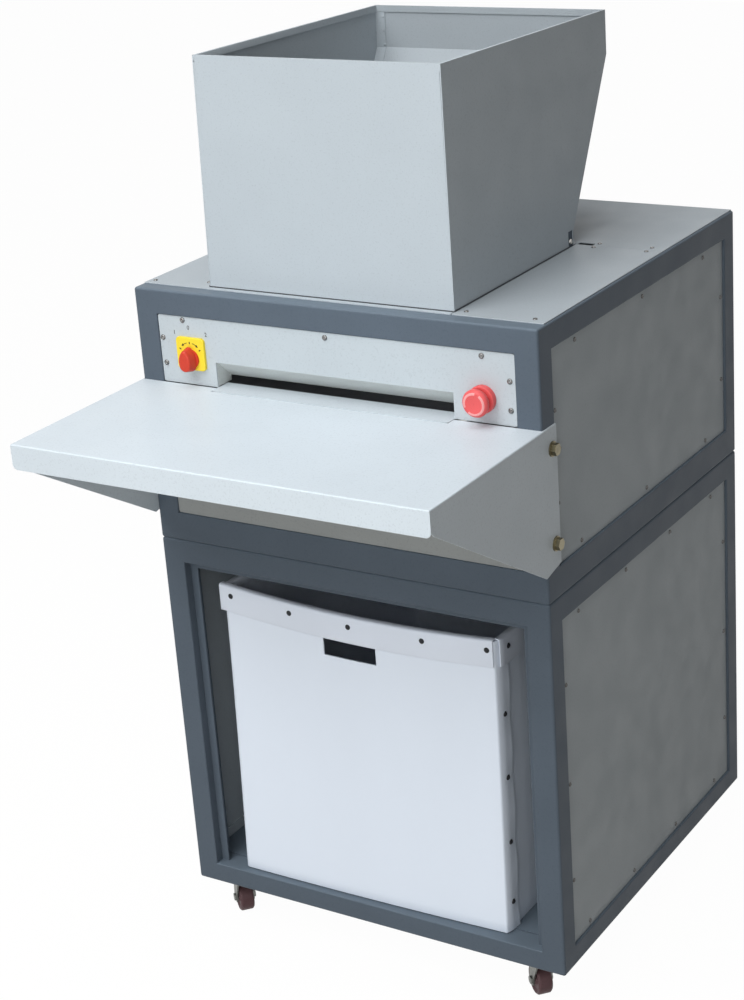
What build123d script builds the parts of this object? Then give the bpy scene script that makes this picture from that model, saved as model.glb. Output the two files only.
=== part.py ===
from build123d import *
import math
import os

# A free-standing cross-cut paper shredder on casters.
# Driving dimensions in millimetres. X is measured from the middle, Y from the cabinet's front face
# towards the rear and Z from the floor. save() then moves every piece to the middle of the machine's depth.

# Cabinet
CABINET_W = 675.0
CABINET_D = 668.0
LOWER_H = 610.0
UPPER_H = 402.0
CASTER_H = 78.0
TUBE = 38.0
TUBE_WALL = 2.0
TUBE_R = 4.0
OPENING_R = 2.0
UPPER_BASE_H = 46.0
LOWER_BASE_H = 34.0

# Sheet metal
SHEET = 1.5
PLATE = 2.0
PANEL_GAP = 0.5
PANEL_R = 3.0
SIDE_INSET = 4.0
FRONT_INSET = 2.5
LEDGE_H = 18.0
LEDGE_T = 3.0
LEDGE_END = 22.0
STOP_W = 13.0
STOP_T = 3.0
STOP_Y = 16.0
BASE_T = 6.0
BASE_MARGIN = 11.5
VENT_COUNT = 7
VENT_L = 150.0
VENT_H = 6.0
VENT_PITCH = 20.0

# Hopper, with heights above the cabinet top
HOPPER_LEFT = 117.0
HOPPER_RIGHT = 145.0
HOPPER_LEAN = 9.0
HOPPER_Y0 = 33.0
HOPPER_Y1 = 529.0
HOPPER_FOOT_Y = 400.0
HOPPER_FRONT_H = 341.0
HOPPER_REAR_H = 331.0
HOPPER_KNEE_H = 265.0
HOPPER_HEEL_H = 26.0
HOPPER_SINK = 14.0
HEEL_NOTCH_D = 18.0
HEEL_NOTCH_H = 26.0
HEM_H = 10.0
HEM_T = 2.0
CORNER_FLANGE = 17.0
FOOT_FLANGE = 9.0
HEEL_FLANGE = 14.0
TOP_FRONT_Y = 24.0
TOP_SEAM_Y = 406.0
TOP_EDGE = 3.0
SEAM_GAP = 1.0
HEEL_SLOT_L = 26.0
HEEL_SLOT_W = 12.0
FLANGE_GAP = 0.3

# Feed table and throat
TABLE_Z = 947.0
TABLE_REACH = 307.0
LIP_H = 38.0
LIP_R = 8.0
LIP_RETURN = 12.0
FOLD_R = 2.5
GUSSET_REAR_Y = 38.0
GUSSET_LOW_Z = 741.0
GUSSET_TIP_Y = -6.5
GUSSET_TIP_DROP = 9.0
THROAT_SIDE = 136.5
THROAT_H = 39.0
THROAT_DEPTH = 29.0
SLOT_H = 9.0
TONGUE_REACH = 16.0
TONGUE_R = 6.0
TONGUE_PROUD = 0.8
FIT_GAP = 0.5
BOLT_Y = 24.0
BOLT_Z = (774.0, 914.0)
BOLT_R = 5.0
BOLT_AF = 16.0
BOLT_HEAD = 7.0
WASHER_R = 11.0
WASHER_T = 2.0
HOLE_GAP = 0.2

# Controls, placed on the front panel by their height above the table
SWITCH_SIDE = 95.0
SWITCH_UP = 49.0
SWITCH_SIZE = 50.0
SWITCH_T = 4.5
SWITCH_R = 6.0
KNOB_DROP = 7.0
KNOB_HALF_W = 11.5
KNOB_TIP = 19.0
KNOB_TAIL = 19.0
KNOB_FLANGE_R = 15.0
KNOB_FLANGE_T = 3.0
KNOB_OUT = 15.0
KNOB_TAPER = 0.82
SPINDLE_R = 4.0
STOP_SIDE = 89.0
STOP_UP = 36.0
BUTTON_R = 20.0
COLLAR_T = 9.5
BUTTON_T = 12.0
BUTTON_TRAVEL = 6.0
BUTTON_GAP = 1.0
PLUNGER_R = 11.0
BLOCK_DEPTH = 27.0
RUN_GAP = 0.05
PART_GAP = 0.3

# Cutting unit
CHAMBER_LEFT = 120.5
CHAMBER_RIGHT = 133.5
CHEEK_T = 15.0
CHEEK_REAR_Y = 277.0
CHEEK_BEND_Z = 905.0
NIP_Y = 170.0
CUTTER_Z = 860.0
CUTTER_SPACING = 82.0
CUTTER_R = 44.0
SPACER_R = 36.5
GULLET_DEPTH = 4.5
CUTTER_TEETH = 7
CUTTER_PITCH = 20.0
CUTTER_T = 9.6
STAGGER_DEG = 17.0
HEX_AF = 44.0
JOURNAL_R = 17.5
BEARING_R = 26.0
BEARING_FLANGE_R = 36.0
BEARING_FLANGE_T = 8.0
COMB_GAP = 1.3
COMB_BAR_Y = 47.0
COMB_BAR_T = 18.0
COMB_REACH_R = 48.0
CHUTE_H = 60.0
CHUTE_FRONT_Y = 88.0
CHUTE_REAR_Y = 254.0

# Gears
TIMING_TEETH = 20
DRIVE_TEETH = 36
PINION_TEETH = 18
DRIVE_MODULE = 5.0
GEAR_W = 24.0
GEAR_STEP = 6.0
TOOTH_TIP = 0.85
TOOTH_ROOT = 1.15
TOOTH_SHARE = 0.43
TOOTH_TIP_SHARE = 0.20
GEAR_HEX_AF = 28.0
LIGHTENING_HOLES = 5
LIGHTENING_R = 15.0

# Gear motor
MOTOR_DROP_DEG = 20.0
MOTOR_R = 58.0
MOTOR_L = 250.0
FIN_COUNT = 9
FIN_DEPTH = 6.0
TERMINAL_L = 84.0
TERMINAL_W = 64.0
TERMINAL_UP = 26.0
GEARBOX_L = 110.0
GEARBOX_HALF = 58.0
OUTPUT_R = 16.0
OUTPUT_SEAT = 40.0
MOTOR_FOOT_T = 12.0

# Control box and cable gland
BOX_W = 80.0
BOX_D = 240.0
BOX_H = 180.0
BOX_REAR = 58.0
BOX_CLEAR = 6.0
GLAND_SIDE = 137.5
GLAND_UP = 70.0
GLAND_R = 12.0
GLAND_NUT_R = 15.0
GLAND_OUT = 20.0
GLAND_RECESS = 8.0

# Waste bin
BIN_LEFT = 84.0
BIN_RIGHT = 99.0
BIN_Y0 = 22.0
BIN_REAR = 86.0
BIN_H = 495.0
BIN_SHEET = 3.0
BIN_FOLD_R = 4.0
RIM_H = 41.0
RIM_OVER = 4.0
HAND_SHIFT = 8.5
HAND_W = 93.0
HAND_H = 33.0
HAND_R = 3.0
BIN_FLANGE = 32.0
FLOOR_LIFT = 0.3

# Casters
CASTER_X = 59.0
REAR_CASTER_X = 88.0
CASTER_Y = 42.0
CASTER_TRAIL = 16.0
CASTER_YAW = 48.0
CASTER_PLATE = 62.0
CASTER_PLATE_T = 3.0
RACE_R = 20.0
RACE_T = 7.5
KINGPIN_R = 6.0
FORK_T = 2.5
FORK_HALF = 15.5
WHEEL_R = 25.0
WHEEL_W = 24.0
WHEEL_CROWN = 3.0
AXLE_R = 4.0

# Values worked out from those above
HALF_W = CABINET_W / 2
HOPPER_X0 = HOPPER_LEFT - HALF_W
HOPPER_X1 = HALF_W - HOPPER_RIGHT
CHAMBER_X0 = CHAMBER_LEFT - HALF_W
CHAMBER_X1 = HALF_W - CHAMBER_RIGHT
THROAT_HALF = HALF_W - THROAT_SIDE
SWITCH_X = SWITCH_SIDE - HALF_W
SPINDLE_UP = SWITCH_UP - KNOB_DROP
STOP_X = HALF_W - STOP_SIDE
GLAND_X = GLAND_SIDE - HALF_W
BIN_X0 = BIN_LEFT - HALF_W
BIN_X1 = HALF_W - BIN_RIGHT
BIN_D = CABINET_D - BIN_REAR - BIN_Y0
HAND_X = (BIN_X0 + BIN_X1) / 2 - HAND_SHIFT
BOX_Y = CABINET_D - BOX_REAR - BOX_D
SEAM_Z = CASTER_H + LOWER_H
TOP_Z = SEAM_Z + UPPER_H
INNER_X = HALF_W - TUBE
INNER_Y = (TUBE, CABINET_D - TUBE)
UPPER_OPEN = (SEAM_Z + UPPER_BASE_H, TOP_Z - TUBE)
LOWER_OPEN = (CASTER_H + LOWER_BASE_H, SEAM_Z - TUBE)
PANEL_BACK = FRONT_INSET + PLATE
BASE_Z = SEAM_Z + UPPER_BASE_H
BASE_TOP = BASE_Z + BASE_T
THROAT_TOP = TABLE_Z + THROAT_H
HOPPER_FOOT_Z = TOP_Z - HOPPER_SINK
FRONT_SHAFT_Y = NIP_Y - CUTTER_SPACING / 2
REAR_SHAFT_Y = NIP_Y + CUTTER_SPACING / 2
GEAR_X = CHAMBER_X1 + CHEEK_T + BEARING_FLANGE_T + GEAR_STEP
DRIVE_X = GEAR_X + GEAR_W + GEAR_STEP
PINION_DISTANCE = DRIVE_MODULE * (DRIVE_TEETH + PINION_TEETH) / 2
MOTOR_Y = REAR_SHAFT_Y + PINION_DISTANCE * math.cos(math.radians(MOTOR_DROP_DEG))
MOTOR_Z = CUTTER_Z - PINION_DISTANCE * math.sin(math.radians(MOTOR_DROP_DEG))
GEARBOX_X1 = DRIVE_X - GEAR_STEP * 4
GEARBOX_X0 = GEARBOX_X1 - GEARBOX_L
REAR_FACE = CABINET_D - FRONT_INSET
REAR_REACH = REAR_FACE + GLAND_OUT
Y_MIDDLE = (REAR_REACH - TABLE_REACH) / 2


def block(xs, ys, zs):
    """A rectangular solid between two coordinates along each axis."""
    pairs = [sorted(pair) for pair in (xs, ys, zs)]
    middle = [(low + high) / 2 for low, high in pairs]
    size = [high - low for low, high in pairs]
    return Pos(*middle) * Box(*size)


def prism_x(points, xs):
    """An outline in the Y-Z plane, drawn out along X."""
    low, high = sorted(xs)
    outline = Wire.make_polygon([Vector(low, y, z) for y, z in points])
    return extrude(Face(outline), amount=high - low, dir=(1, 0, 0))


def prism_y(points, ys):
    """An outline in the X-Z plane, drawn out along Y."""
    low, high = sorted(ys)
    outline = Wire.make_polygon([Vector(x, low, z) for x, z in points])
    return extrude(Face(outline), amount=high - low, dir=(0, 1, 0))


def rod(radius, start, end):
    """A round bar between two points on a line along one axis."""
    line = Vector(*end) - Vector(*start)
    return extrude(Plane(start, z_dir=line) * Circle(radius), amount=line.length)


def polar(radius, degrees):
    """A point of a circle about the origin."""
    angle = math.radians(degrees)
    return radius * math.cos(angle), radius * math.sin(angle)


def shifted(points, y, z):
    """Points moved to a centre."""
    return [(y + a, z + b) for a, b in points]


def hexagon(across_flats):
    """Corners of a hexagon with this width across its flats."""
    return [polar(across_flats / math.sqrt(3), 60 * k) for k in range(6)]


def save(name, *pieces):
    """Writes one node, moved so that the machine's depth is centred on the origin."""
    solids = [solid for piece in pieces for solid in piece.solids()]
    moved = [solid.moved(Location((0, -Y_MIDDLE, 0))) for solid in solids]
    export_step(moved[0] if len(moved) == 1 else Compound(children=moved), f"parts/{name}.step")


def edges_on(part, axis, value):
    """Edges that lie in the plane where one coordinate has this value."""
    near = value - 0.01, value + 0.01
    return part.edges().filter_by_position(axis, *near, inclusive=(True, True))


def frame_tubes(bottom, height, base_height):
    """A welded box frame, ground flush and rounded, as its posts, top rails and base rails."""
    top = bottom + height
    opening = (bottom + base_height, top - TUBE)
    inside = (-INNER_X, INNER_X)
    across = (-HALF_W, HALF_W)
    along = (0, CABINET_D)
    whole = block(across, along, (bottom, top))
    whole -= block(inside, (-TUBE, CABINET_D + TUBE), opening)
    whole -= block((-CABINET_W, CABINET_W), INNER_Y, opening)
    whole -= block(inside, INNER_Y, (bottom - TUBE, top + TUBE))
    skins = [(Axis.X, -HALF_W), (Axis.X, HALF_W), (Axis.Y, 0), (Axis.Y, CABINET_D)]
    skins += [(Axis.Z, bottom), (Axis.Z, top)]
    touched = [edge for axis, value in skins for edge in edges_on(whole, axis, value)]
    corners = [e for e in whole.edges() if sum(e.is_same(t) for t in touched) == 2]
    whole = fillet(corners, TUBE_R)
    mouths = [e for axis, value in skins for e in edges_on(whole, axis, value) if is_mouth(e, opening)]
    whole = fillet(mouths, OPENING_R)

    wall = TUBE_WALL
    posts, top_rails, base_rails = [], [], []
    for x in (-HALF_W, HALF_W):
        inner = math.copysign(INNER_X, x)
        hollow_x = (x - math.copysign(wall, x), inner + math.copysign(wall, x))
        for ys in ((0, TUBE), (CABINET_D - TUBE, CABINET_D)):
            hollow_y = (ys[0] + wall, ys[1] - wall)
            post = whole & block((x, inner), ys, (bottom, top))
            posts.append(post - block(hollow_x, hollow_y, (bottom + wall, top - wall)))
        for rails, zs in ((top_rails, (opening[1], top)), (base_rails, (bottom, opening[0]))):
            rail = whole & block((x, inner), INNER_Y, zs)
            rails.append(rail - block(hollow_x, INNER_Y, (zs[0] + wall, zs[1] - wall)))
    for ys in ((0, TUBE), (CABINET_D - TUBE, CABINET_D)):
        hollow_y = (ys[0] + wall, ys[1] - wall)
        for rails, zs in ((top_rails, (opening[1], top)), (base_rails, (bottom, opening[0]))):
            rail = whole & block(inside, ys, zs)
            rails.append(rail - block(inside, hollow_y, (zs[0] + wall, zs[1] - wall)))
    return posts, top_rails, base_rails


def is_mouth(edge, opening):
    """Whether an edge of the frame bounds one of its openings, on an outer face."""
    middle = edge.center()
    at_side = abs(abs(middle.X) - INNER_X) < 0.01
    at_end = min(abs(middle.Y - y) for y in INNER_Y) < 0.01
    at_level = min(abs(middle.Z - z) for z in opening) < 0.01
    return at_side or at_end or at_level


def table_holes(inner_x, outer_x):
    """Clearance holes for the table bolts, on both sides."""
    return [
        rod(BOLT_R + HOLE_GAP, (side * inner_x, BOLT_Y, z), (side * outer_x, BOLT_Y, z))
        for side in (-1, 1)
        for z in BOLT_Z
    ]


def side_panels(opening):
    """The two sheets set into the sides of a frame."""
    zs = (opening[0] + PANEL_GAP, opening[1] - PANEL_GAP)
    ys = (INNER_Y[0] + PANEL_GAP, INNER_Y[1] - PANEL_GAP)
    outer = HALF_W - SIDE_INSET
    made = []
    for side in (-1, 1):
        sheet = block((side * outer, side * (outer - SHEET)), ys, zs)
        made.append(fillet(sheet.edges().filter_by(Axis.X), PANEL_R))
    return made


def cross_panel(y, opening, thickness):
    """A sheet set between two posts, its outer face at y and its thickness running to the inside."""
    zs = (opening[0] + PANEL_GAP, opening[1] - PANEL_GAP)
    sheet = block((-INNER_X + PANEL_GAP, INNER_X - PANEL_GAP), (y, y + thickness), zs)
    return fillet(sheet.edges().filter_by(Axis.Y), PANEL_R)


def ledges():
    """Strips welded inside the frames, behind the panels' upper and lower edges."""
    strips = []
    for low, high in (UPPER_OPEN, LOWER_OPEN):
        for zs in ((low, low + LEDGE_H), (high - LEDGE_H, high)):
            inner = HALF_W - SIDE_INSET - SHEET
            ys = (INNER_Y[0] + LEDGE_END, INNER_Y[1] - LEDGE_END)
            for side in (-1, 1):
                strips.append(block((side * inner, side * (inner - LEDGE_T)), ys, zs))
            back = REAR_FACE - SHEET
            xs = (-INNER_X + LEDGE_END, INNER_X - LEDGE_END)
            strips.append(block(xs, (back - LEDGE_T, back), zs))
    low, high = UPPER_OPEN
    for zs in ((low, low + LEDGE_H), (high - LEDGE_H, high)):
        xs = (-INNER_X + LEDGE_END, INNER_X - LEDGE_END)
        strips.append(block(xs, (PANEL_BACK, PANEL_BACK + LEDGE_T), zs))
    return strips


def rear_panel(opening):
    """The upper rear sheet, with ventilation slots and the cable gland's hole."""
    sheet = cross_panel(REAR_FACE, opening, -SHEET)
    middle = (opening[0] + opening[1]) / 2
    for k in range(VENT_COUNT):
        z = middle + (k - (VENT_COUNT - 1) / 2) * VENT_PITCH
        plane = Plane((0, REAR_FACE + SHEET, z), x_dir=(1, 0, 0), z_dir=(0, -1, 0))
        sheet -= extrude(plane * SlotOverall(VENT_L, VENT_H), amount=SHEET * 4)
    z = opening[0] + GLAND_UP
    ends = [(GLAND_X, y, z) for y in (REAR_FACE - SHEET * 3, REAR_FACE + SHEET)]
    return sheet - rod(GLAND_R + HOLE_GAP, *ends)


def front_panel():
    """The sheet above the table, notched for the feed throat and bored for the two controls."""
    sheet = cross_panel(FRONT_INSET, (TABLE_Z, UPPER_OPEN[1]), PLATE)
    through = (FRONT_INSET - PLATE, PANEL_BACK + PLATE)
    sheet -= block((-THROAT_HALF, THROAT_HALF), through, (TABLE_Z - PLATE, THROAT_TOP))
    for x, up, radius in ((SWITCH_X, SPINDLE_UP, SPINDLE_R), (STOP_X, STOP_UP, PLUNGER_R)):
        z = TABLE_Z + up
        sheet -= rod(radius + PART_GAP, (x, through[0], z), (x, through[1], z))
    return sheet


def feed_hood():
    """The guide behind the throat: a slope down to the slot, folded up as the chamber's front wall."""
    bend_y, bend_z = INNER_Y[0], TABLE_Z + TONGUE_PROUD + SLOT_H
    reach = THROAT_HALF + SHEET
    slope = [
        (PANEL_BACK, THROAT_TOP),
        (bend_y, bend_z),
        (bend_y, bend_z + PLATE * 1.5),
        (PANEL_BACK, THROAT_TOP + PLATE * 1.5),
    ]
    hood = prism_x(slope, (-reach, reach))
    hood += block((CHAMBER_X0, CHAMBER_X1), (bend_y, bend_y + SHEET), (bend_z, HOPPER_FOOT_Z))
    low = TABLE_Z + SHEET
    cheek = [(PANEL_BACK, low), (bend_y, low), (bend_y, bend_z), (PANEL_BACK, THROAT_TOP)]
    for side in (-1, 1):
        hood += prism_x(cheek, (side * THROAT_HALF, side * reach))
    return hood


def infeed_guides():
    """The floor from the table to the front cutter, and the slope from the hopper's heel to the rear one."""
    tongue_top = TABLE_Z + TONGUE_PROUD
    half = THROAT_HALF - FIT_GAP
    tongue = block((-half, half), (-TONGUE_REACH, INNER_Y[0]), (tongue_top - SHEET, tongue_top))
    corners = [e for e in tongue.edges().filter_by(Axis.Z) if e.center().Y < 0]
    tongue = fillet(corners, TONGUE_R)
    drop_y, drop_z = FRONT_SHAFT_Y - CUTTER_R * 0.4, CUTTER_Z + CUTTER_R + SHEET
    profile = [
        (INNER_Y[0], tongue_top - SHEET),
        (INNER_Y[0], tongue_top),
        (FRONT_SHAFT_Y - CUTTER_R, tongue_top),
        (drop_y + SHEET, drop_z),
        (drop_y, drop_z - SHEET),
        (FRONT_SHAFT_Y - CUTTER_R - SHEET, tongue_top - SHEET),
    ]
    floor = tongue + prism_x(profile, (CHAMBER_X0, CHAMBER_X1))
    low_y, low_z = REAR_SHAFT_Y + CUTTER_R * 0.55, CUTTER_Z + CUTTER_R
    slope = [
        (low_y, low_z),
        (HOPPER_FOOT_Y, HOPPER_FOOT_Z),
        (HOPPER_FOOT_Y + PLATE * 1.5, HOPPER_FOOT_Z),
        (low_y + PLATE * 1.5, low_z),
    ]
    guide = prism_x(slope, (CHAMBER_X0, CHAMBER_X1))
    ys = (HOPPER_FOOT_Y, HOPPER_FOOT_Y + SHEET)
    upright = block((CHAMBER_X0, HOPPER_X1), ys, (HOPPER_FOOT_Z, TOP_Z + SHEET))
    return floor, guide + upright


def top_strip(inner_x, outer_x):
    """A top cover beside the hopper, its inner edge turned down along the hopper's wall."""
    cover = block((inner_x, outer_x), (TOP_FRONT_Y, TOP_SEAM_Y), (TOP_Z, TOP_Z + SHEET))
    turned = inner_x + math.copysign(SHEET, outer_x)
    return cover + block((inner_x, turned), (INNER_Y[0] + FIT_GAP, TOP_SEAM_Y), (HOPPER_FOOT_Z, TOP_Z))


def side_outline():
    """The hopper side's outline in Y and Z, from the foot up the front and down the back."""
    return [
        (HOPPER_Y0, HOPPER_FOOT_Z),
        (HOPPER_Y0, TOP_Z + HOPPER_FRONT_H),
        (HOPPER_Y1, TOP_Z + HOPPER_REAR_H),
        (HOPPER_Y1, TOP_Z + HOPPER_KNEE_H),
        (HOPPER_FOOT_Y, TOP_Z + HOPPER_HEEL_H),
        (HOPPER_FOOT_Y - HEEL_NOTCH_D, TOP_Z + HEEL_NOTCH_H),
        (HOPPER_FOOT_Y - HEEL_NOTCH_D, HOPPER_FOOT_Z),
    ]


def lean_left(shape):
    """Tips a shape inwards about the left wall's foot line."""
    degrees = math.degrees(math.atan2(HOPPER_LEAN, HOPPER_FRONT_H + HOPPER_SINK))
    foot = Pos(HOPPER_X0, 0, HOPPER_FOOT_Z)
    return foot * Rot(0, degrees, 0) * foot.inverse() * shape


def back_sheet():
    """The hopper's folded rear sheet before trimming: hemmed rim, slope, and foot turned out."""
    t = SHEET
    foot, heel = HOPPER_FOOT_Y, TOP_Z + HOPPER_HEEL_H
    knee, rim = TOP_Z + HOPPER_KNEE_H, TOP_Z + HOPPER_REAR_H
    inner = HOPPER_Y1 - t
    profile = [
        (inner - HEM_T, rim),
        (HOPPER_Y1, rim),
        (HOPPER_Y1, knee),
        (foot + t, heel),
        (foot + t, TOP_Z + t * 2),
        (foot + HEEL_FLANGE, TOP_Z + t * 2),
        (foot + HEEL_FLANGE, TOP_Z + t),
        (foot, TOP_Z + t),
        (foot, heel),
        (inner, knee),
        (inner, rim - HEM_H),
        (inner - HEM_T, rim - HEM_H),
    ]
    return prism_x(profile, (HOPPER_X0 - TUBE, HOPPER_X1 - SHEET))


def corner_flange(xs):
    """The strip folded from a hopper side onto the inside of the rear sheet."""
    inner, knee = HOPPER_Y1 - SHEET, TOP_Z + HOPPER_KNEE_H
    under_hem = TOP_Z + HOPPER_REAR_H - HEM_H
    heel = (HOPPER_FOOT_Y, TOP_Z + HOPPER_HEEL_H)
    outline = [(inner, under_hem), (inner, knee), heel, (heel[0] - SHEET, heel[1])]
    outline += [(inner - SHEET, knee), (inner - SHEET, under_hem)]
    return prism_x(outline, xs)


def hopper_shell():
    """The hopper's front and sides, three sheets that meet at the corners, each with a doubled rim."""
    rim = (TOP_Z + HOPPER_FRONT_H - HEM_H, TOP_Z + HOPPER_FRONT_H)
    outline = side_outline()
    band = [(HOPPER_Y0, rim[1]), (HOPPER_Y1, TOP_Z + HOPPER_REAR_H)]
    hem = [*band, (HOPPER_Y1, band[1][1] - HEM_H), (HOPPER_Y0, band[0][1] - HEM_H)]
    left_x, right_x = HOPPER_X0, HOPPER_X1
    below = block((-HALF_W, HALF_W), (0, CABINET_D), (0, HOPPER_FOOT_Z))
    below += block((-HALF_W, HALF_W), (0, INNER_Y[0] + FIT_GAP), (0, TOP_Z))
    left = prism_x(outline, (left_x, left_x + SHEET)) + prism_x(hem, (left_x, left_x + SHEET + HEM_T))
    fold = lean_left(corner_flange((left_x + SHEET, left_x + SHEET + CORNER_FLANGE))) - back_sheet()
    left = lean_left(left) + fold - below
    right = prism_x(outline, (right_x - SHEET, right_x)) + prism_x(hem, (right_x - SHEET - HEM_T, right_x))
    right += corner_flange((right_x - SHEET - CORNER_FLANGE, right_x - SHEET))
    right -= below
    xs = (left_x, right_x - SHEET)
    front = block(xs, (HOPPER_Y0, HOPPER_Y0 + SHEET), (TOP_Z, rim[1]))
    front += block(xs, (HOPPER_Y0, HOPPER_Y0 + SHEET + HEM_T), rim)
    beside = block((left_x - TUBE, left_x + SHEET), (0, HOPPER_Y1), (HOPPER_FOOT_Z, rim[1] + TUBE))
    front = front - lean_left(beside) - left - right
    front += block(xs, (HOPPER_Y0 - FOOT_FLANGE, HOPPER_Y0), (TOP_Z, TOP_Z + SHEET))
    return front, left, right


def hopper_back():
    """The rear sheet, trimmed to fit between the sides."""
    rim = TOP_Z + HOPPER_REAR_H
    beside = block((HOPPER_X0 - CABINET_W, HOPPER_X0 + SHEET), (0, HOPPER_Y1 + TUBE), (0, rim + TUBE))
    sheet = back_sheet() - lean_left(beside)
    for wall in hopper_shell():
        sheet -= wall
    return sheet


def feed_table():
    """One folded sheet: flat top, front lip with rounded corners and a return, gussets down both sides."""
    outer = HALF_W + PLATE
    front = -TABLE_REACH
    top = block((-outer, outer), (front, 0), (TABLE_Z - PLATE, TABLE_Z))
    tongue = THROAT_HALF
    lip = block((-outer, outer), (front, front + PLATE), (TABLE_Z - LIP_H, TABLE_Z))
    low = [e for e in lip.edges().filter_by(Axis.Y) if e.center().Z < TABLE_Z - PLATE]
    table = top + fillet(low, LIP_R)
    low_z = TABLE_Z - LIP_H
    table += block((LIP_R - outer, outer - LIP_R), (front, front + LIP_RETURN), (low_z, low_z + PLATE))
    gusset = [
        (front + LIP_R, TABLE_Z),
        (GUSSET_REAR_Y, TABLE_Z),
        (GUSSET_REAR_Y, GUSSET_LOW_Z),
        (GUSSET_TIP_Y, GUSSET_LOW_Z - GUSSET_TIP_DROP),
        (front + LIP_R, TABLE_Z - LIP_H),
        (front, TABLE_Z - LIP_H + LIP_R),
        (front, TABLE_Z),
    ]
    for side in (-1, 1):
        table += prism_x(gusset, (side * HALF_W, side * outer))
    rim = [e for e in edges_on(table, Axis.Z, TABLE_Z) if e.center().Y < front + 1]
    rim += [e for e in edges_on(table, Axis.Z, TABLE_Z) if abs(e.center().X) > outer - 0.1]
    table = fillet(rim, FOLD_R)
    notch_y = (-TONGUE_REACH - FIT_GAP, PLATE)
    table -= block((-tongue, tongue), notch_y, (TABLE_Z - PLATE * 2, TABLE_Z + PLATE))
    for hole in table_holes(HALF_W - PLATE, outer + PLATE):
        table -= hole
    return table


def table_bolts():
    """Four hexagon bolts with washers, through the gussets into the front posts."""
    bolts = []
    face = HALF_W + PLATE
    for side in (-1, 1):
        for z in BOLT_Z:
            start = face + WASHER_T
            head = prism_x(shifted(hexagon(BOLT_AF), BOLT_Y, z), (side * start, side * (start + BOLT_HEAD)))
            washer = rod(WASHER_R, (side * face, BOLT_Y, z), (side * start, BOLT_Y, z))
            shank = rod(BOLT_R, (side * (HALF_W - TUBE / 2), BOLT_Y, z), (side * start, BOLT_Y, z))
            bolts.append(head + washer + shank)
    return bolts


def switch_plate():
    """The rotary switch's square face plate."""
    z = TABLE_Z + SWITCH_UP
    half = SWITCH_SIZE / 2
    face = FRONT_INSET - SWITCH_T
    plate = block((SWITCH_X - half, SWITCH_X + half), (face, FRONT_INSET), (z - half, z + half))
    plate = fillet(plate.edges().filter_by(Axis.Y), SWITCH_R)
    plate = fillet(edges_on(plate, Axis.Y, face), SWITCH_T / 4)
    axis = TABLE_Z + SPINDLE_UP
    return plate - rod(SPINDLE_R + RUN_GAP, (SWITCH_X, face - SWITCH_T, axis), (SWITCH_X, PANEL_BACK, axis))


def knob_outline(share):
    """The handle's egg shape, narrow at the pointing end, scaled about the spindle."""
    half, tip, tail = KNOB_HALF_W * share, KNOB_TIP * share, KNOB_TAIL * share
    nose = half * 0.36
    low = half - tail
    shoulder = (half * 0.85, tip * 0.5)
    right = ThreePointArc((half, low), shoulder, (nose, tip - nose * 0.3))
    top = ThreePointArc((nose, tip - nose * 0.3), (0, tip), (-nose, tip - nose * 0.3))
    left = ThreePointArc((-nose, tip - nose * 0.3), (-shoulder[0], shoulder[1]), (-half, low))
    bottom = ThreePointArc((-half, low), (0, -tail), (half, low))
    return make_face([right, top, left, bottom])


def switch_knob():
    """An egg-shaped handle on a round flange, with the spindle that turns the contacts."""
    z = TABLE_Z + SPINDLE_UP
    face = FRONT_INSET - SWITCH_T - PART_GAP
    shoulder = face - KNOB_FLANGE_T
    sections = []
    for out, share in ((0, 1.0), (KNOB_OUT, KNOB_TAPER)):
        plane = Plane((SWITCH_X, shoulder - out, z), x_dir=(1, 0, 0), z_dir=(0, -1, 0))
        sections.append(plane * knob_outline(share))
    handle = loft(sections)
    crown = handle.faces().sort_by(Axis.Y)[0]
    handle = fillet(crown.edges(), KNOB_HALF_W / 4)
    flange = rod(KNOB_FLANGE_R, (SWITCH_X, face, z), (SWITCH_X, shoulder, z))
    spindle = rod(SPINDLE_R, (SWITCH_X, shoulder, z), (SWITCH_X, PANEL_BACK + BLOCK_DEPTH / 2, z))
    return handle + flange + spindle


def contact_blocks():
    """The switch and stop-button contact blocks, clamped to the back of the front panel."""
    made = []
    for x, up, radius, half in ((SWITCH_X, SPINDLE_UP, SPINDLE_R, SWITCH_SIZE * 0.42),
                                (STOP_X, STOP_UP, PLUNGER_R, BUTTON_R * 0.8)):
        z = TABLE_Z + up
        back = PANEL_BACK + BLOCK_DEPTH
        body = block((x - half, x + half), (PANEL_BACK, back), (z - half, z + half))
        body = fillet(body.edges().filter_by(Axis.Y), PANEL_R)
        made.append(body - rod(radius + RUN_GAP, (x, PANEL_BACK - PLATE, z), (x, back - PLATE, z)))
    return made


def stop_collar():
    """The stop button's fixed collar, a ring with a rounded outer rim."""
    z = TABLE_Z + STOP_UP
    ring = rod(BUTTON_R, (STOP_X, FRONT_INSET, z), (STOP_X, FRONT_INSET - COLLAR_T, z))
    ring = fillet(edges_on(ring, Axis.Y, FRONT_INSET - COLLAR_T), COLLAR_T / 4)
    return ring - rod(PLUNGER_R + RUN_GAP, (STOP_X, PANEL_BACK, z), (STOP_X, FRONT_INSET - COLLAR_T * 2, z))


def stop_plunger():
    """The stem that carries the mushroom head through the collar into the contact block."""
    z = TABLE_Z + STOP_UP
    end = PANEL_BACK + BLOCK_DEPTH - PLATE - BUTTON_TRAVEL - BUTTON_GAP
    start = FRONT_INSET - COLLAR_T - BUTTON_TRAVEL - BUTTON_GAP
    stem = rod(PLUNGER_R, (STOP_X, end, z), (STOP_X, start, z))
    return stem + rod(PLUNGER_R / 2, (STOP_X, start, z), (STOP_X, start - BUTTON_T / 2, z))


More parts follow.
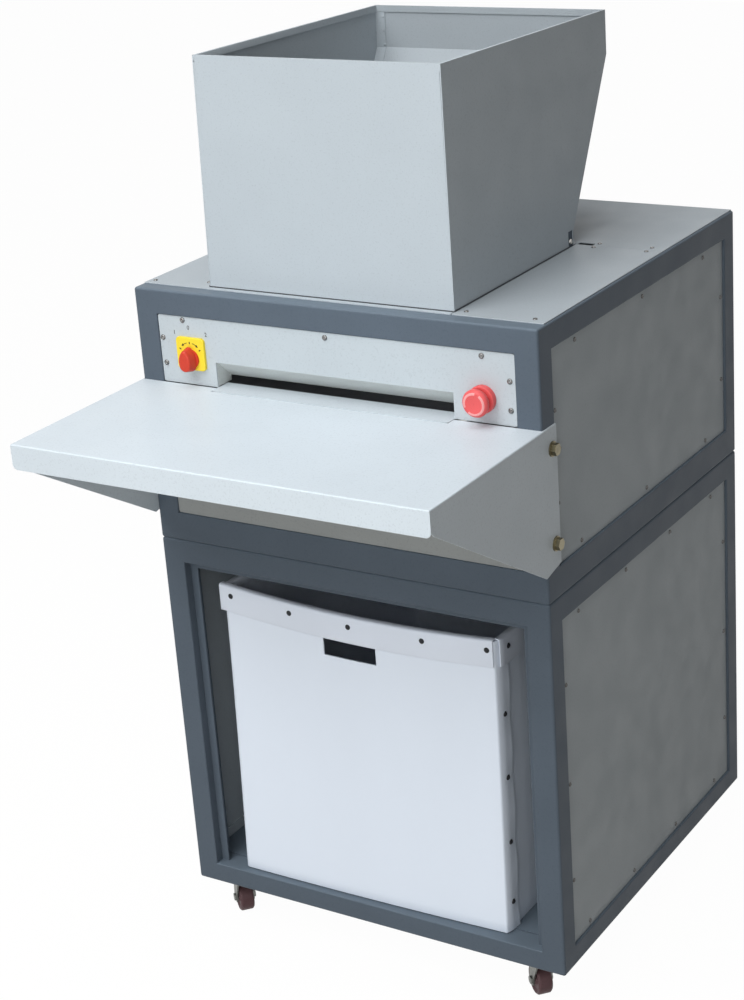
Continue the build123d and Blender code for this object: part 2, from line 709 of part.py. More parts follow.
def stop_head():
    """The mushroom head: a dished disc with a rolled rim, turned on the stem's spigot."""
    z = TABLE_Z + STOP_UP
    back = FRONT_INSET - COLLAR_T - BUTTON_TRAVEL - BUTTON_GAP - PART_GAP
    profile = [
        (PLUNGER_R / 2 + RUN_GAP, 0),
        (BUTTON_R * 0.9, 0),
        (BUTTON_R, BUTTON_T * 0.35),
        (BUTTON_R, BUTTON_T * 0.6),
        (BUTTON_R * 0.9, BUTTON_T * 0.85),
        (BUTTON_R * 0.75, BUTTON_T),
        (0, BUTTON_T * 0.88),
        (0, BUTTON_T / 2 + BUTTON_GAP),
        (PLUNGER_R / 2 + RUN_GAP, BUTTON_T / 2 + BUTTON_GAP),
    ]
    outline = Wire.make_polygon([Vector(STOP_X + r, back - h, z) for r, h in profile])
    return revolve(Face(outline), Axis((STOP_X, back, z), (0, -1, 0)))


def cheek(xs):
    """A cutter side plate, following the rear guide's slope, bored for two bearings."""
    outline = [
        (INNER_Y[0] + PANEL_GAP, BASE_TOP),
        (CHEEK_REAR_Y, BASE_TOP),
        (CHEEK_REAR_Y, CHEEK_BEND_Z),
        (TOP_SEAM_Y, HOPPER_FOOT_Z - TUBE),
        (TOP_SEAM_Y, HOPPER_FOOT_Z),
        (INNER_Y[0] + PANEL_GAP, HOPPER_FOOT_Z),
    ]
    plate = prism_x(outline, xs)
    for y in (FRONT_SHAFT_Y, REAR_SHAFT_Y):
        plate -= rod(BEARING_R + RUN_GAP / 2, (xs[0] - 1, y, CUTTER_Z), (xs[1] + 1, y, CUTTER_Z))
    return plate


def bearings():
    """Four flanged bearings, pressed into the side plates from outside."""
    made = []
    for inner, side in ((CHAMBER_X0, -1), (CHAMBER_X1, 1)):
        face = inner + side * CHEEK_T
        out = face + side * BEARING_FLANGE_T
        for y in (FRONT_SHAFT_Y, REAR_SHAFT_Y):
            ring = rod(BEARING_R, (inner, y, CUTTER_Z), (face, y, CUTTER_Z))
            flange = rod(BEARING_FLANGE_R, (face, y, CUTTER_Z), (out, y, CUTTER_Z))
            bore = rod(JOURNAL_R + RUN_GAP, (inner - side, y, CUTTER_Z), (out + side, y, CUTTER_Z))
            made.append(ring + flange - bore)
    return made


def shaft(y, end_x):
    """A hexagon shaft with round journals in the bearings and a smaller hexagon for its gears."""
    end_gap = FIT_GAP
    core = prism_x(shifted(hexagon(HEX_AF), y, CUTTER_Z), (CHAMBER_X0 + end_gap, CHAMBER_X1 - end_gap))
    left = CHAMBER_X0 - CHEEK_T - BEARING_FLANGE_T - GEAR_STEP
    right = CHAMBER_X1 + CHEEK_T + BEARING_FLANGE_T + GEAR_STEP / 2
    core += rod(JOURNAL_R, (left, y, CUTTER_Z), (right, y, CUTTER_Z))
    return core + prism_x(shifted(hexagon(GEAR_HEX_AF), y, CUTTER_Z), (right, end_x))


def cutter_stack(y, offset, turn):
    """Hooked cutter discs on a twelve-sided core, stepped round the shaft to cut in a spiral."""
    start, end = CHAMBER_X0 + FIT_GAP, CHAMBER_X1 - FIT_GAP
    core = [polar(SPACER_R, 30 * k) for k in range(12)]
    stack = prism_x(shifted(core, y, CUTTER_Z), (start, end))
    step = 360 / CUTTER_TEETH
    tooth = ((CUTTER_R, 0.0), (CUTTER_R - GULLET_DEPTH * 0.4, 0.5), (CUTTER_R - GULLET_DEPTH, 0.8))
    slack = CUTTER_PITCH / 2 - CUTTER_T
    discs = []
    x = start + offset + slack / 2
    while x + CUTTER_T <= end:
        spin = turn * len(discs) * STAGGER_DEG
        places = [(r, k + share) for k in range(CUTTER_TEETH) for r, share in tooth]
        outline = [polar(r, spin + turn * step * place) for r, place in places]
        discs.append(prism_x(shifted(outline, y, CUTTER_Z), (x, x + CUTTER_T)))
        x += CUTTER_PITCH
    stack = stack.fuse(*discs)
    return stack - prism_x(shifted(hexagon(HEX_AF + RUN_GAP * 2), y, CUTTER_Z), (start - 1, end + 1))


def comb(y, side, offset):
    """A stripper comb: a bar beside the discs with a finger round the core in every gap between them."""
    inner = SPACER_R + COMB_GAP
    angles = range(165, 241, 15)
    arc = [polar(inner, a) for a in angles]
    tip = polar(COMB_REACH_R, angles[-1])
    finger = [(-COMB_BAR_Y, arc[0][1]), *arc, tip, (-COMB_BAR_Y, tip[1] * 0.7)]
    low, high = finger[-1][1], arc[0][1]
    placed = [(y + side * -a, CUTTER_Z + b) for a, b in finger]
    bar_y = (y + side * COMB_BAR_Y, y + side * (COMB_BAR_Y + COMB_BAR_T))
    bar = block((CHAMBER_X0, CHAMBER_X1), bar_y, (CUTTER_Z + low, CUTTER_Z + high))
    start, end = CHAMBER_X0 + FIT_GAP, CHAMBER_X1 - FIT_GAP
    width = CUTTER_PITCH - CUTTER_T - FIT_GAP * 2
    fingers = []
    x = start + offset + CUTTER_PITCH / 2 + FIT_GAP
    while x + width <= end:
        fingers.append(prism_x(placed, (x, x + width)))
        x += CUTTER_PITCH
    return bar.fuse(*fingers)


def gear_outline(teeth, module, turn):
    """A spur gear's outline with straight flanks, one tooth centred at the given angle."""
    pitch_r = module * teeth / 2
    step = 360 / teeth
    corners = (
        (pitch_r - TOOTH_ROOT * module, -TOOTH_SHARE * 0.72),
        (pitch_r + TOOTH_TIP * module, -TOOTH_TIP_SHARE / 2),
        (pitch_r + TOOTH_TIP * module, TOOTH_TIP_SHARE / 2),
        (pitch_r - TOOTH_ROOT * module, TOOTH_SHARE * 0.72),
    )
    return [polar(r, turn + step * (k + share)) for k in range(teeth) for r, share in corners]


def gear(y, z, start_x, teeth, module, turn):
    """A spur gear on a shaft's gear hexagon."""
    wheel = prism_x(shifted(gear_outline(teeth, module, turn), y, z), (start_x, start_x + GEAR_W))
    bore = shifted(hexagon(GEAR_HEX_AF + RUN_GAP * 2), y, z)
    return wheel - prism_x(bore, (start_x - 1, start_x + GEAR_W + 1))


def drive_gear():
    """The large gear on the rear shaft, with a ring of lightening holes."""
    wheel = gear(REAR_SHAFT_Y, CUTTER_Z, DRIVE_X, DRIVE_TEETH, DRIVE_MODULE, 0)
    ring = (DRIVE_MODULE * (DRIVE_TEETH / 2 - TOOTH_ROOT) + GEAR_HEX_AF / 2) / 2
    for k in range(LIGHTENING_HOLES):
        y, z = polar(ring, 360 * k / LIGHTENING_HOLES)
        ends = [(x, REAR_SHAFT_Y + y, CUTTER_Z + z) for x in (DRIVE_X - 1, DRIVE_X + GEAR_W + 1)]
        wheel -= rod(LIGHTENING_R, *ends)
    return wheel


def pinion():
    """The pinion cut on the gearbox's output shaft, in mesh with the drive gear."""
    mesh = 180 - MOTOR_DROP_DEG
    drive_phase = (-MOTOR_DROP_DEG / (360 / DRIVE_TEETH)) % 1
    turn = mesh + (0.5 + drive_phase) * 360 / PINION_TEETH
    outline = gear_outline(PINION_TEETH, DRIVE_MODULE, turn)
    wheel = prism_x(shifted(outline, MOTOR_Y, MOTOR_Z), (DRIVE_X, DRIVE_X + GEAR_W))
    return wheel + rod(OUTPUT_R, (GEARBOX_X1 - OUTPUT_SEAT, MOTOR_Y, MOTOR_Z), (DRIVE_X, MOTOR_Y, MOTOR_Z))


def gearbox():
    """A rounded housing with a foot and an output boss, bored for the output shaft."""
    half = GEARBOX_HALF
    ys = (MOTOR_Y - half, MOTOR_Y + half)
    body = block((GEARBOX_X0, GEARBOX_X1 - GEAR_STEP), ys, (BASE_TOP, MOTOR_Z + half))
    upper = [e for e in body.edges().filter_by(Axis.X) if e.center().Z > MOTOR_Z]
    body = fillet(upper, half * 0.6)
    body += rod(half * 0.5, (GEARBOX_X1 - GEAR_STEP, MOTOR_Y, MOTOR_Z), (GEARBOX_X1, MOTOR_Y, MOTOR_Z))
    seat = (GEARBOX_X1 - OUTPUT_SEAT - BUTTON_GAP, MOTOR_Y, MOTOR_Z)
    return body - rod(OUTPUT_R + RUN_GAP, seat, (GEARBOX_X1 + 1, MOTOR_Y, MOTOR_Z))


def motor():
    """A foot-mounted motor: ribbed barrel, fan cover, terminal box and two feet."""
    end = GEARBOX_X0
    start = end - MOTOR_L
    barrel = rod(MOTOR_R - FIN_DEPTH, (start, MOTOR_Y, MOTOR_Z), (end, MOTOR_Y, MOTOR_Z))
    pitch = MOTOR_L * 0.6 / FIN_COUNT
    for k in range(FIN_COUNT):
        x = end - pitch * (k + 1)
        barrel += rod(MOTOR_R, (x, MOTOR_Y, MOTOR_Z), (x + pitch / 2, MOTOR_Y, MOTOR_Z))
    barrel += rod(MOTOR_R, (start, MOTOR_Y, MOTOR_Z), (start + MOTOR_L * 0.25, MOTOR_Y, MOTOR_Z))
    for share in (0.35, 0.8):
        x = start + MOTOR_L * share
        ys = (MOTOR_Y - MOTOR_R, MOTOR_Y + MOTOR_R)
        barrel += block((x, x + MOTOR_FOOT_T), ys, (BASE_TOP, MOTOR_Z - MOTOR_R / 2))
    middle = end - MOTOR_L * 0.35
    box_x = (middle - TERMINAL_L / 2, middle + TERMINAL_L / 2)
    box_y = (MOTOR_Y - TERMINAL_W / 2, MOTOR_Y + TERMINAL_W / 2)
    terminal = block(box_x, box_y, (MOTOR_Z + MOTOR_R / 2, MOTOR_Z + MOTOR_R + TERMINAL_UP))
    terminal = fillet(terminal.edges().filter_by(Axis.Z), PANEL_R)
    return barrel + terminal


def base_plate():
    """The bed of the cutting unit, lying on the side base rails, open below the cutters."""
    half = HALF_W - BASE_MARGIN
    plate = block((-half, half), (INNER_Y[0] + PANEL_GAP, INNER_Y[1] - PANEL_GAP), (BASE_Z, BASE_TOP))
    hole_x = (CHAMBER_X0 + SHEET, CHAMBER_X1 - SHEET)
    return plate - block(hole_x, (CHUTE_FRONT_Y, CHUTE_REAR_Y), (BASE_Z - 1, BASE_TOP + 1))


def chute():
    """Two upright sheets that lead the shreds from the combs to the bed's opening."""
    zs = (BASE_TOP, BASE_TOP + CHUTE_H)
    xs = (CHAMBER_X0, CHAMBER_X1)
    rows = ((CHUTE_FRONT_Y - SHEET, CHUTE_FRONT_Y), (CHUTE_REAR_Y, CHUTE_REAR_Y + SHEET))
    return [block(xs, ys, zs) for ys in rows]


def control_box():
    """The electrical box on the bed, with a lid that stands a little proud."""
    left = -HALF_W + SIDE_INSET + SHEET + LEDGE_T + BOX_CLEAR
    body = block((left, left + BOX_W), (BOX_Y, BOX_Y + BOX_D), (BASE_TOP, BASE_TOP + BOX_H))
    body = fillet(body.edges().filter_by(Axis.Z), PANEL_R)
    lid = block((left + BOX_W, left + BOX_W + PLATE), (BOX_Y + PANEL_R, BOX_Y + BOX_D - PANEL_R),
                (BASE_TOP + PANEL_R, BASE_TOP + BOX_H - PANEL_R))
    return body + lid


def cable_gland():
    """The power inlet's gland in the rear panel, a hexagon body with a domed nut and an open mouth."""
    z = UPPER_OPEN[0] + GLAND_UP
    face = REAR_FACE
    outline = [(GLAND_X + a, z + b) for a, b in hexagon(GLAND_NUT_R * 1.8)]
    body = prism_y(outline, (face, face + GLAND_OUT * 0.4))
    nut = rod(GLAND_NUT_R * 0.85, (GLAND_X, face, z), (GLAND_X, face + GLAND_OUT, z))
    nut = fillet(edges_on(nut, Axis.Y, face + GLAND_OUT), GLAND_NUT_R / 4)
    thread = rod(GLAND_R, (GLAND_X, face - SHEET - GLAND_OUT / 2, z), (GLAND_X, face, z))
    lock = [(GLAND_X + a, z + b) for a, b in hexagon(GLAND_NUT_R * 1.8)]
    inner = prism_y(lock, (face - SHEET - GLAND_OUT / 4, face - SHEET))
    end = face + GLAND_OUT
    mouth = rod(GLAND_R / 2, (GLAND_X, end - GLAND_RECESS, z), (GLAND_X, end + 1, z))
    return body + nut + thread + inner - mouth


def floor_panel():
    """The sheet that the bin stands on, on the lower base rails between the posts."""
    z = LOWER_OPEN[0]
    half = HALF_W - SIDE_INSET - SHEET - LEDGE_T - PANEL_GAP
    return block((-half, half), (INNER_Y[0] + PANEL_GAP, INNER_Y[1] - PANEL_GAP), (z, z + SHEET))


def stop_strips():
    """Flat strips set back in the bin opening, along both posts and under the top rail."""
    ys = (STOP_Y, STOP_Y + STOP_T)
    low, high = LOWER_OPEN
    strips = [block((-INNER_X, INNER_X), ys, (high - STOP_W, high))]
    for side in (-1, 1):
        strips.append(block((side * INNER_X, side * (INNER_X - STOP_W)), ys, (low, high - STOP_W)))
    return strips


def bin_sheets():
    """The bin's plastic sheets: a front folded round onto the sides, a back, two sides and a bottom."""
    z0 = LOWER_OPEN[0] + SHEET + FLOOR_LIFT
    z1 = z0 + BIN_H - BIN_SHEET
    x0, x1 = BIN_X0 + RIM_OVER, BIN_X1 - RIM_OVER
    y0, y1 = BIN_Y0 + RIM_OVER, BIN_Y0 + BIN_D - RIM_OVER
    t = BIN_SHEET
    front = block((x0, x1), (y0, y0 + t), (z0, z1))
    for side in ((x0, x0 + t), (x1 - t, x1)):
        front += block(side, (y0, y0 + BIN_FLANGE), (z0, z1))
    folds = [e for e in front.edges().filter_by(Axis.Z) if e.center().Y < y0 + 0.01]
    front = fillet(folds, BIN_FOLD_R)
    hole_z = z0 + BIN_H - RIM_H - HAND_H / 2
    plane = Plane((HAND_X, y0 - t, hole_z), x_dir=(1, 0, 0), z_dir=(0, -1, 0))
    front -= extrude(plane * RectangleRounded(HAND_W, HAND_H, HAND_R), amount=-t * 3)
    sides = [block((x, x + t), (y0 + t, y1 - t), (z0 + t, z1)) for x in (x0 + t, x1 - t * 2)]
    back = block((x0 + t, x1 - t), (y1 - t, y1), (z0, z1))
    bottom = block((x0 + t, x1 - t), (y0 + t, y1 - t), (z0, z0 + t))
    return front, *sides, back, bottom


def bin_rim():
    """Channel bands folded over the bin's top edge, one on each side."""
    top = LOWER_OPEN[0] + SHEET + FLOOR_LIFT + BIN_H
    bands = []
    for ys, inward in (((BIN_Y0, BIN_Y0 + RIM_OVER), 1), ((BIN_Y0 + BIN_D - RIM_OVER, BIN_Y0 + BIN_D), -1)):
        band = block((BIN_X0, BIN_X1), ys, (top - RIM_H, top))
        inner = ys[0] if inward > 0 else ys[1]
        lap_y = (inner, inner + inward * (RIM_OVER + BIN_SHEET * 2))
        lap = block((BIN_X0, BIN_X1), lap_y, (top - BIN_SHEET, top))
        bands.append(band + lap)
    ys = (BIN_Y0 + RIM_OVER, BIN_Y0 + BIN_D - RIM_OVER)
    lap_y = (ys[0] + BIN_SHEET * 2, ys[1] - BIN_SHEET * 2)
    for x, inward in ((BIN_X0, 1), (BIN_X1, -1)):
        band = block((x, x + inward * RIM_OVER), ys, (top - RIM_H, top - BIN_SHEET))
        lap = block((x, x + inward * (RIM_OVER + BIN_SHEET * 3)), lap_y, (top - BIN_SHEET, top))
        bands.append(band + lap)
    return bands


def caster_places():
    """Each caster's name with the place of its swivel axis."""
    front, rear = CASTER_Y, CABINET_D - CASTER_Y - CASTER_TRAIL
    rows = (("front", CASTER_X, front), ("rear", REAR_CASTER_X, rear))
    sides = (("left", -1), ("right", 1))
    return [(f"{row}_{side}", s * (HALF_W - inset), y) for row, inset, y in rows for side, s in sides]


def swivelled(x, y):
    """The turn about a swivel axis that takes a straight caster to the way it stands."""
    return Pos(x, y, 0) * Rot(0, 0, CASTER_YAW) * Pos(-x, -y, 0)


def caster_plate(x, y):
    """A square top plate with the swivel race and a headed kingpin."""
    half = CASTER_PLATE / 2
    under = CASTER_H - CASTER_PLATE_T
    plate = block((x - half, x + half), (y - half, y + half), (under, CASTER_H))
    plate = fillet(plate.edges().filter_by(Axis.Z), PANEL_R)
    race = rod(RACE_R, (x, y, under - RACE_T), (x, y, under))
    race = chamfer(edges_on(race, Axis.Z, under - RACE_T), RACE_T / 3)
    low = under - RACE_T - PART_GAP - FORK_T
    pin = rod(KINGPIN_R, (x, y, low - PART_GAP * 2), (x, y, under))
    head = rod(KINGPIN_R * 1.5, (x, y, low - PART_GAP - FORK_T), (x, y, low - PART_GAP))
    return plate + race + pin + head


def caster_fork(x, y):
    """A pressed fork, its legs narrowing to the axle, with the axle riveted through them."""
    top = CASTER_H - CASTER_PLATE_T - RACE_T - PART_GAP
    axle_y = y + CASTER_TRAIL
    crown = RACE_R * 0.95
    leg = [
        (y - crown * 0.7, top),
        (y + crown, top),
        (axle_y + AXLE_R * 2.2, WHEEL_R + AXLE_R),
        (axle_y + AXLE_R * 1.5, WHEEL_R - AXLE_R * 2),
        (axle_y - AXLE_R * 1.5, WHEEL_R - AXLE_R * 2),
        (axle_y - AXLE_R * 2.2, WHEEL_R + AXLE_R),
    ]
    fork = block((x - FORK_HALF, x + FORK_HALF), (y - crown * 0.7, y + crown), (top - FORK_T, top))
    for side in (-1, 1):
        fork += prism_x(leg, (x + side * FORK_HALF, x + side * (FORK_HALF - FORK_T)))
    fork -= rod(KINGPIN_R + RUN_GAP, (x, y, top - FORK_T * 2), (x, y, top + 1))
    reach = FORK_HALF + FORK_T
    hole = rod(AXLE_R + RUN_GAP / 2, (x - reach, axle_y, WHEEL_R), (x + reach, axle_y, WHEEL_R))
    axle = rod(AXLE_R, (x - FORK_HALF, axle_y, WHEEL_R), (x + FORK_HALF, axle_y, WHEEL_R))
    for side in (-1, 1):
        face = x + side * FORK_HALF
        axle += rod(AXLE_R * 1.6, (face, axle_y, WHEEL_R), (face + side * FORK_T, axle_y, WHEEL_R))
    return fork - hole, axle


def caster_wheel(x, y):
    """A solid wheel with a crowned tread, dished sides and a bored hub."""
    half = WHEEL_W / 2
    profile = [
        (AXLE_R + RUN_GAP, -half),
        (AXLE_R * 2, -half),
        (AXLE_R * 2.4, -half * 0.75),
        (WHEEL_R * 0.72, -half * 0.75),
        (WHEEL_R - WHEEL_CROWN, -half),
        (WHEEL_R, -half + WHEEL_CROWN),
        (WHEEL_R, half - WHEEL_CROWN),
        (WHEEL_R - WHEEL_CROWN, half),
        (WHEEL_R * 0.72, half * 0.75),
        (AXLE_R * 2.4, half * 0.75),
        (AXLE_R * 2, half),
        (AXLE_R + RUN_GAP, half),
    ]
    axle_y = y + CASTER_TRAIL
    outline = Wire.make_polygon([Vector(x + across, axle_y, WHEEL_R + r) for r, across in profile])
    return revolve(Face(outline), Axis((x, axle_y, WHEEL_R), (1, 0, 0)))


def build_frames():
    """Both tube frames and the strips inside them."""
    posts, top_rails, base_rails = frame_tubes(SEAM_Z, UPPER_H, UPPER_BASE_H)
    for hole in table_holes(HALF_W - TUBE_WALL * 2, HALF_W + TUBE_WALL):
        posts = [post - hole for post in posts]
    save("upper_frame_posts", *posts)
    save("upper_frame_top_rails", *top_rails)
    save("upper_frame_base_rails", *base_rails)
    posts, top_rails, base_rails = frame_tubes(CASTER_H, LOWER_H, LOWER_BASE_H)
    save("lower_frame_posts", *posts)
    save("lower_frame_top_rails", *top_rails)
    save("lower_frame_base_rails", *base_rails)
    save("panel_ledges", *ledges())
    save("opening_stop_strips", *stop_strips())


def build_panels():
    """The cabinet's sheets."""
    save("upper_side_panels", *side_panels(UPPER_OPEN))
    save("upper_rear_panel", rear_panel(UPPER_OPEN))
    save("front_panel", front_panel())
    save("front_lower_panel", cross_panel(FRONT_INSET, (UPPER_OPEN[0], TABLE_Z - PLATE), PLATE))
    edge = HALF_W - TOP_EDGE
    save("top_left_panel", top_strip(HOPPER_X0 - FLANGE_GAP, -edge))
    save("top_right_panel", top_strip(HOPPER_X1 + FLANGE_GAP, edge))
    rear = block((-edge, edge), (TOP_SEAM_Y + SEAM_GAP, CABINET_D - TOP_EDGE), (TOP_Z, TOP_Z + SHEET))
    slot_x = (HOPPER_X1 + SHEET, HOPPER_X1 + SHEET + HEEL_SLOT_L)
    rear -= block(slot_x, (TOP_SEAM_Y, TOP_SEAM_Y + HEEL_SLOT_W), (TOP_Z - SHEET, TOP_Z + SHEET * 2))
    save("top_rear_panel", rear)
    save("lower_side_panels", *side_panels(LOWER_OPEN))
    save("lower_rear_panel", cross_panel(REAR_FACE, LOWER_OPEN, -SHEET))
    save("floor_panel", floor_panel())
    save("base_plate", base_plate())


def build_feed():
    """Hopper, table, throat and guides."""
    save("hopper_shell", *hopper_shell())
    save("hopper_back", hopper_back())
    save("feed_table", feed_table())
    save("table_bolts", *table_bolts())
    save("feed_hood", feed_hood())
    save("infeed_guides", *infeed_guides())


def build_controls():
    """Rotary switch and stop button."""
    save("switch_plate", switch_plate())
    save("switch_knob", switch_knob())
    save("control_contact_blocks", *contact_blocks())
    save("stop_button_collar", stop_collar())
    save("stop_button_plunger", stop_plunger())
    save("stop_button_head", stop_head())


def build_drive():
    """Cutters, gears, motor and what carries them."""
    cheeks = ((CHAMBER_X0 - CHEEK_T, CHAMBER_X0), (CHAMBER_X1, CHAMBER_X1 + CHEEK_T))
    save("cutter_side_plates", *[cheek(xs) for xs in cheeks])
    save("cutter_bearings", *bearings())
    save("front_cutter_shaft", shaft(FRONT_SHAFT_Y, GEAR_X + GEAR_W))
    save("rear_cutter_shaft", shaft(REAR_SHAFT_Y, DRIVE_X + GEAR_W))
    half_pitch = CUTTER_PITCH / 2
    save("front_cutter_stack", cutter_stack(FRONT_SHAFT_Y, 0, 1))
    save("rear_cutter_stack", cutter_stack(REAR_SHAFT_Y, half_pitch, -1))
    save("stripper_combs", comb(FRONT_SHAFT_Y, -1, 0), comb(REAR_SHAFT_Y, 1, -half_pitch))
    module = CUTTER_SPACING / TIMING_TEETH
    half_tooth = 180 / TIMING_TEETH
    save("front_timing_gear", gear(FRONT_SHAFT_Y, CUTTER_Z, GEAR_X, TIMING_TEETH, module, 0))
    save("rear_timing_gear", gear(REAR_SHAFT_Y, CUTTER_Z, GEAR_X, TIMING_TEETH, module, half_tooth))
    save("drive_gear", drive_gear())
    save("motor_pinion", pinion())
    save("gearbox", gearbox())
    save("motor", motor())
    save("discharge_chute", *chute())
    save("control_box", control_box())
    save("cable_gland", cable_gland())


def build_bin():
    """The waste bin."""
    save("bin_body", *bin_sheets())
    save("bin_rim", *bin_rim())


def build_casters():
    """Four swivel casters."""
    places = caster_places()
    save("caster_plates", *[caster_plate(x, y) for _, x, y in places])
    for name, x, y in places:
        turn = swivelled(x, y)
        save(f"caster_fork_{name}", *[turn * piece for piece in caster_fork(x, y)])
        save(f"caster_wheel_{name}", turn * caster_wheel(x, y))


os.makedirs("parts", exist_ok=True)
build_frames()
build_panels()
build_feed()
build_controls()
build_drive()
build_bin()
build_casters()
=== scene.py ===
import math

import bmesh
import bpy
from mathutils import Matrix, Vector
from mathutils.bvhtree import BVHTree


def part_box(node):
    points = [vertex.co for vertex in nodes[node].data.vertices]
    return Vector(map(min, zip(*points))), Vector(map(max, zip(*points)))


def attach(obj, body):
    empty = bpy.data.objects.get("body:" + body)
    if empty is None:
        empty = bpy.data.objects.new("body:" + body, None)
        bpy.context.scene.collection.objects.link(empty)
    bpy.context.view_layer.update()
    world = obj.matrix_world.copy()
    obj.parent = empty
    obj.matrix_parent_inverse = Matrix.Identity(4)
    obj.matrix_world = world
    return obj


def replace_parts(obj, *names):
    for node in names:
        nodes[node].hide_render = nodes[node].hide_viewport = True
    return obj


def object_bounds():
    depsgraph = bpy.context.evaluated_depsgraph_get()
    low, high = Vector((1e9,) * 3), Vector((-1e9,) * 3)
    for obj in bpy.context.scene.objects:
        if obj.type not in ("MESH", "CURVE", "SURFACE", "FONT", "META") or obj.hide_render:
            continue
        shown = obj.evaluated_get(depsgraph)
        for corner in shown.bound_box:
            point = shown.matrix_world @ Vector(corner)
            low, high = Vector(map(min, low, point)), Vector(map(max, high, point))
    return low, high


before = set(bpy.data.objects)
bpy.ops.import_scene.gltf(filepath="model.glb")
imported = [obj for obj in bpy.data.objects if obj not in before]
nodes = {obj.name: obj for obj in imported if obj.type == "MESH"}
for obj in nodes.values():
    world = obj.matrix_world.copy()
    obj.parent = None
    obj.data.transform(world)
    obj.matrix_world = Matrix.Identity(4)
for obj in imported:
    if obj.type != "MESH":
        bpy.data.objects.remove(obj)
cad_low, cad_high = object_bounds()

MM = 0.001

# Anchors read from the CAD boxes, in metres.
post_low, post_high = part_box("upper_frame_posts")
LEFT = post_low.x
FRONT = post_low.y
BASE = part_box("lower_frame_posts")[0].z
WIDTH = post_high.x - post_low.x


def at(x, y, z):
    """A place in millimetres from the cabinet's left face, front face and the frame's underside."""
    return Vector((LEFT + x * MM, FRONT + y * MM, BASE + z * MM))


def box_mm(node):
    """A node's box in the millimetres that at() takes."""
    low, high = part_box(node)
    return (low - at(0, 0, 0)) / MM, (high - at(0, 0, 0)) / MM


# Materials

# Noise sizes in features per metre, and bump heights in metres.
MOTTLE_SCALE = 7.0
GLOSS_SCALE = 22.0
WAVE_SCALE = 3.2
WAVE_HEIGHT = 0.01
GRAIN_HEIGHT = 0.0004
PATCH_SCALE = 26.0
LINE_HEIGHT = 0.0003
LINE_STRENGTH = 0.12

# Specks: their noise scale and tone, as shares of the grain's scale and the coat's colour.
SPECK_SCALE = 0.6
SPECK_TONE = 0.72

# Noise values between which specks and dull patches come in, and the gloss range along drawn lines.
SPECK_RANGE = (0.56, 0.72)
PATCH_RANGE = (0.5, 0.78)
LINE_GLOSS = (0.75, 1.3)


def shader(name):
    """A new material with its tree, its principled shader and object coordinates."""
    material = bpy.data.materials.new(name)
    material.use_nodes = True
    tree = material.node_tree
    coords = tree.nodes.new("ShaderNodeTexCoord")
    return material, tree, tree.nodes["Principled BSDF"], coords.outputs["Object"]


def noise(tree, vector, scale, detail=3.0, roughness=0.5, stretch=None):
    """A noise texture in object space, in features per metre."""
    if stretch:
        mapping = tree.nodes.new("ShaderNodeMapping")
        mapping.inputs["Scale"].default_value = stretch
        tree.links.new(vector, mapping.inputs["Vector"])
        vector = mapping.outputs["Vector"]
    node = tree.nodes.new("ShaderNodeTexNoise")
    node.inputs["Scale"].default_value = scale
    node.inputs["Detail"].default_value = detail
    node.inputs["Roughness"].default_value = roughness
    tree.links.new(vector, node.inputs["Vector"])
    return node.outputs["Fac"]


def spread(tree, value, low, high, start=0.3, end=0.7):
    """Maps a value between start and end onto a range."""
    node = tree.nodes.new("ShaderNodeMapRange")
    node.inputs["From Min"].default_value = start
    node.inputs["From Max"].default_value = end
    node.inputs["To Min"].default_value = low
    node.inputs["To Max"].default_value = high
    tree.links.new(value, node.inputs["Value"])
    return node.outputs["Result"]


def tint(tree, share, colour, other):
    """Mixes two colours by a value from 0 to 1."""
    node = tree.nodes.new("ShaderNodeMix")
    node.data_type = "RGBA"
    node.inputs["A"].default_value = (*colour, 1)
    node.inputs["B"].default_value = (*other, 1)
    tree.links.new(share, node.inputs["Factor"])
    return node.outputs["Result"]


def tint_over(tree, share, under, other):
    """Mixes a colour over a linked one by a value from 0 to 1."""
    node = tree.nodes.new("ShaderNodeMix")
    node.data_type = "RGBA"
    node.inputs["B"].default_value = (*other, 1)
    tree.links.new(under, node.inputs["A"])
    tree.links.new(share, node.inputs["Factor"])
    return node.outputs["Result"]


def bump(tree, height, strength, distance, before=None):
    """A bump from a height value, on top of an earlier one."""
    node = tree.nodes.new("ShaderNodeBump")
    node.inputs["Strength"].default_value = strength
    node.inputs["Distance"].default_value = distance
    tree.links.new(height, node.inputs["Height"])
    if before is not None:
        tree.links.new(before, node.inputs["Normal"])
    return node.outputs["Normal"]


def scaled(colour, factor):
    """A colour made lighter or darker by a factor."""
    return tuple(min(1.0, channel * factor) for channel in colour)


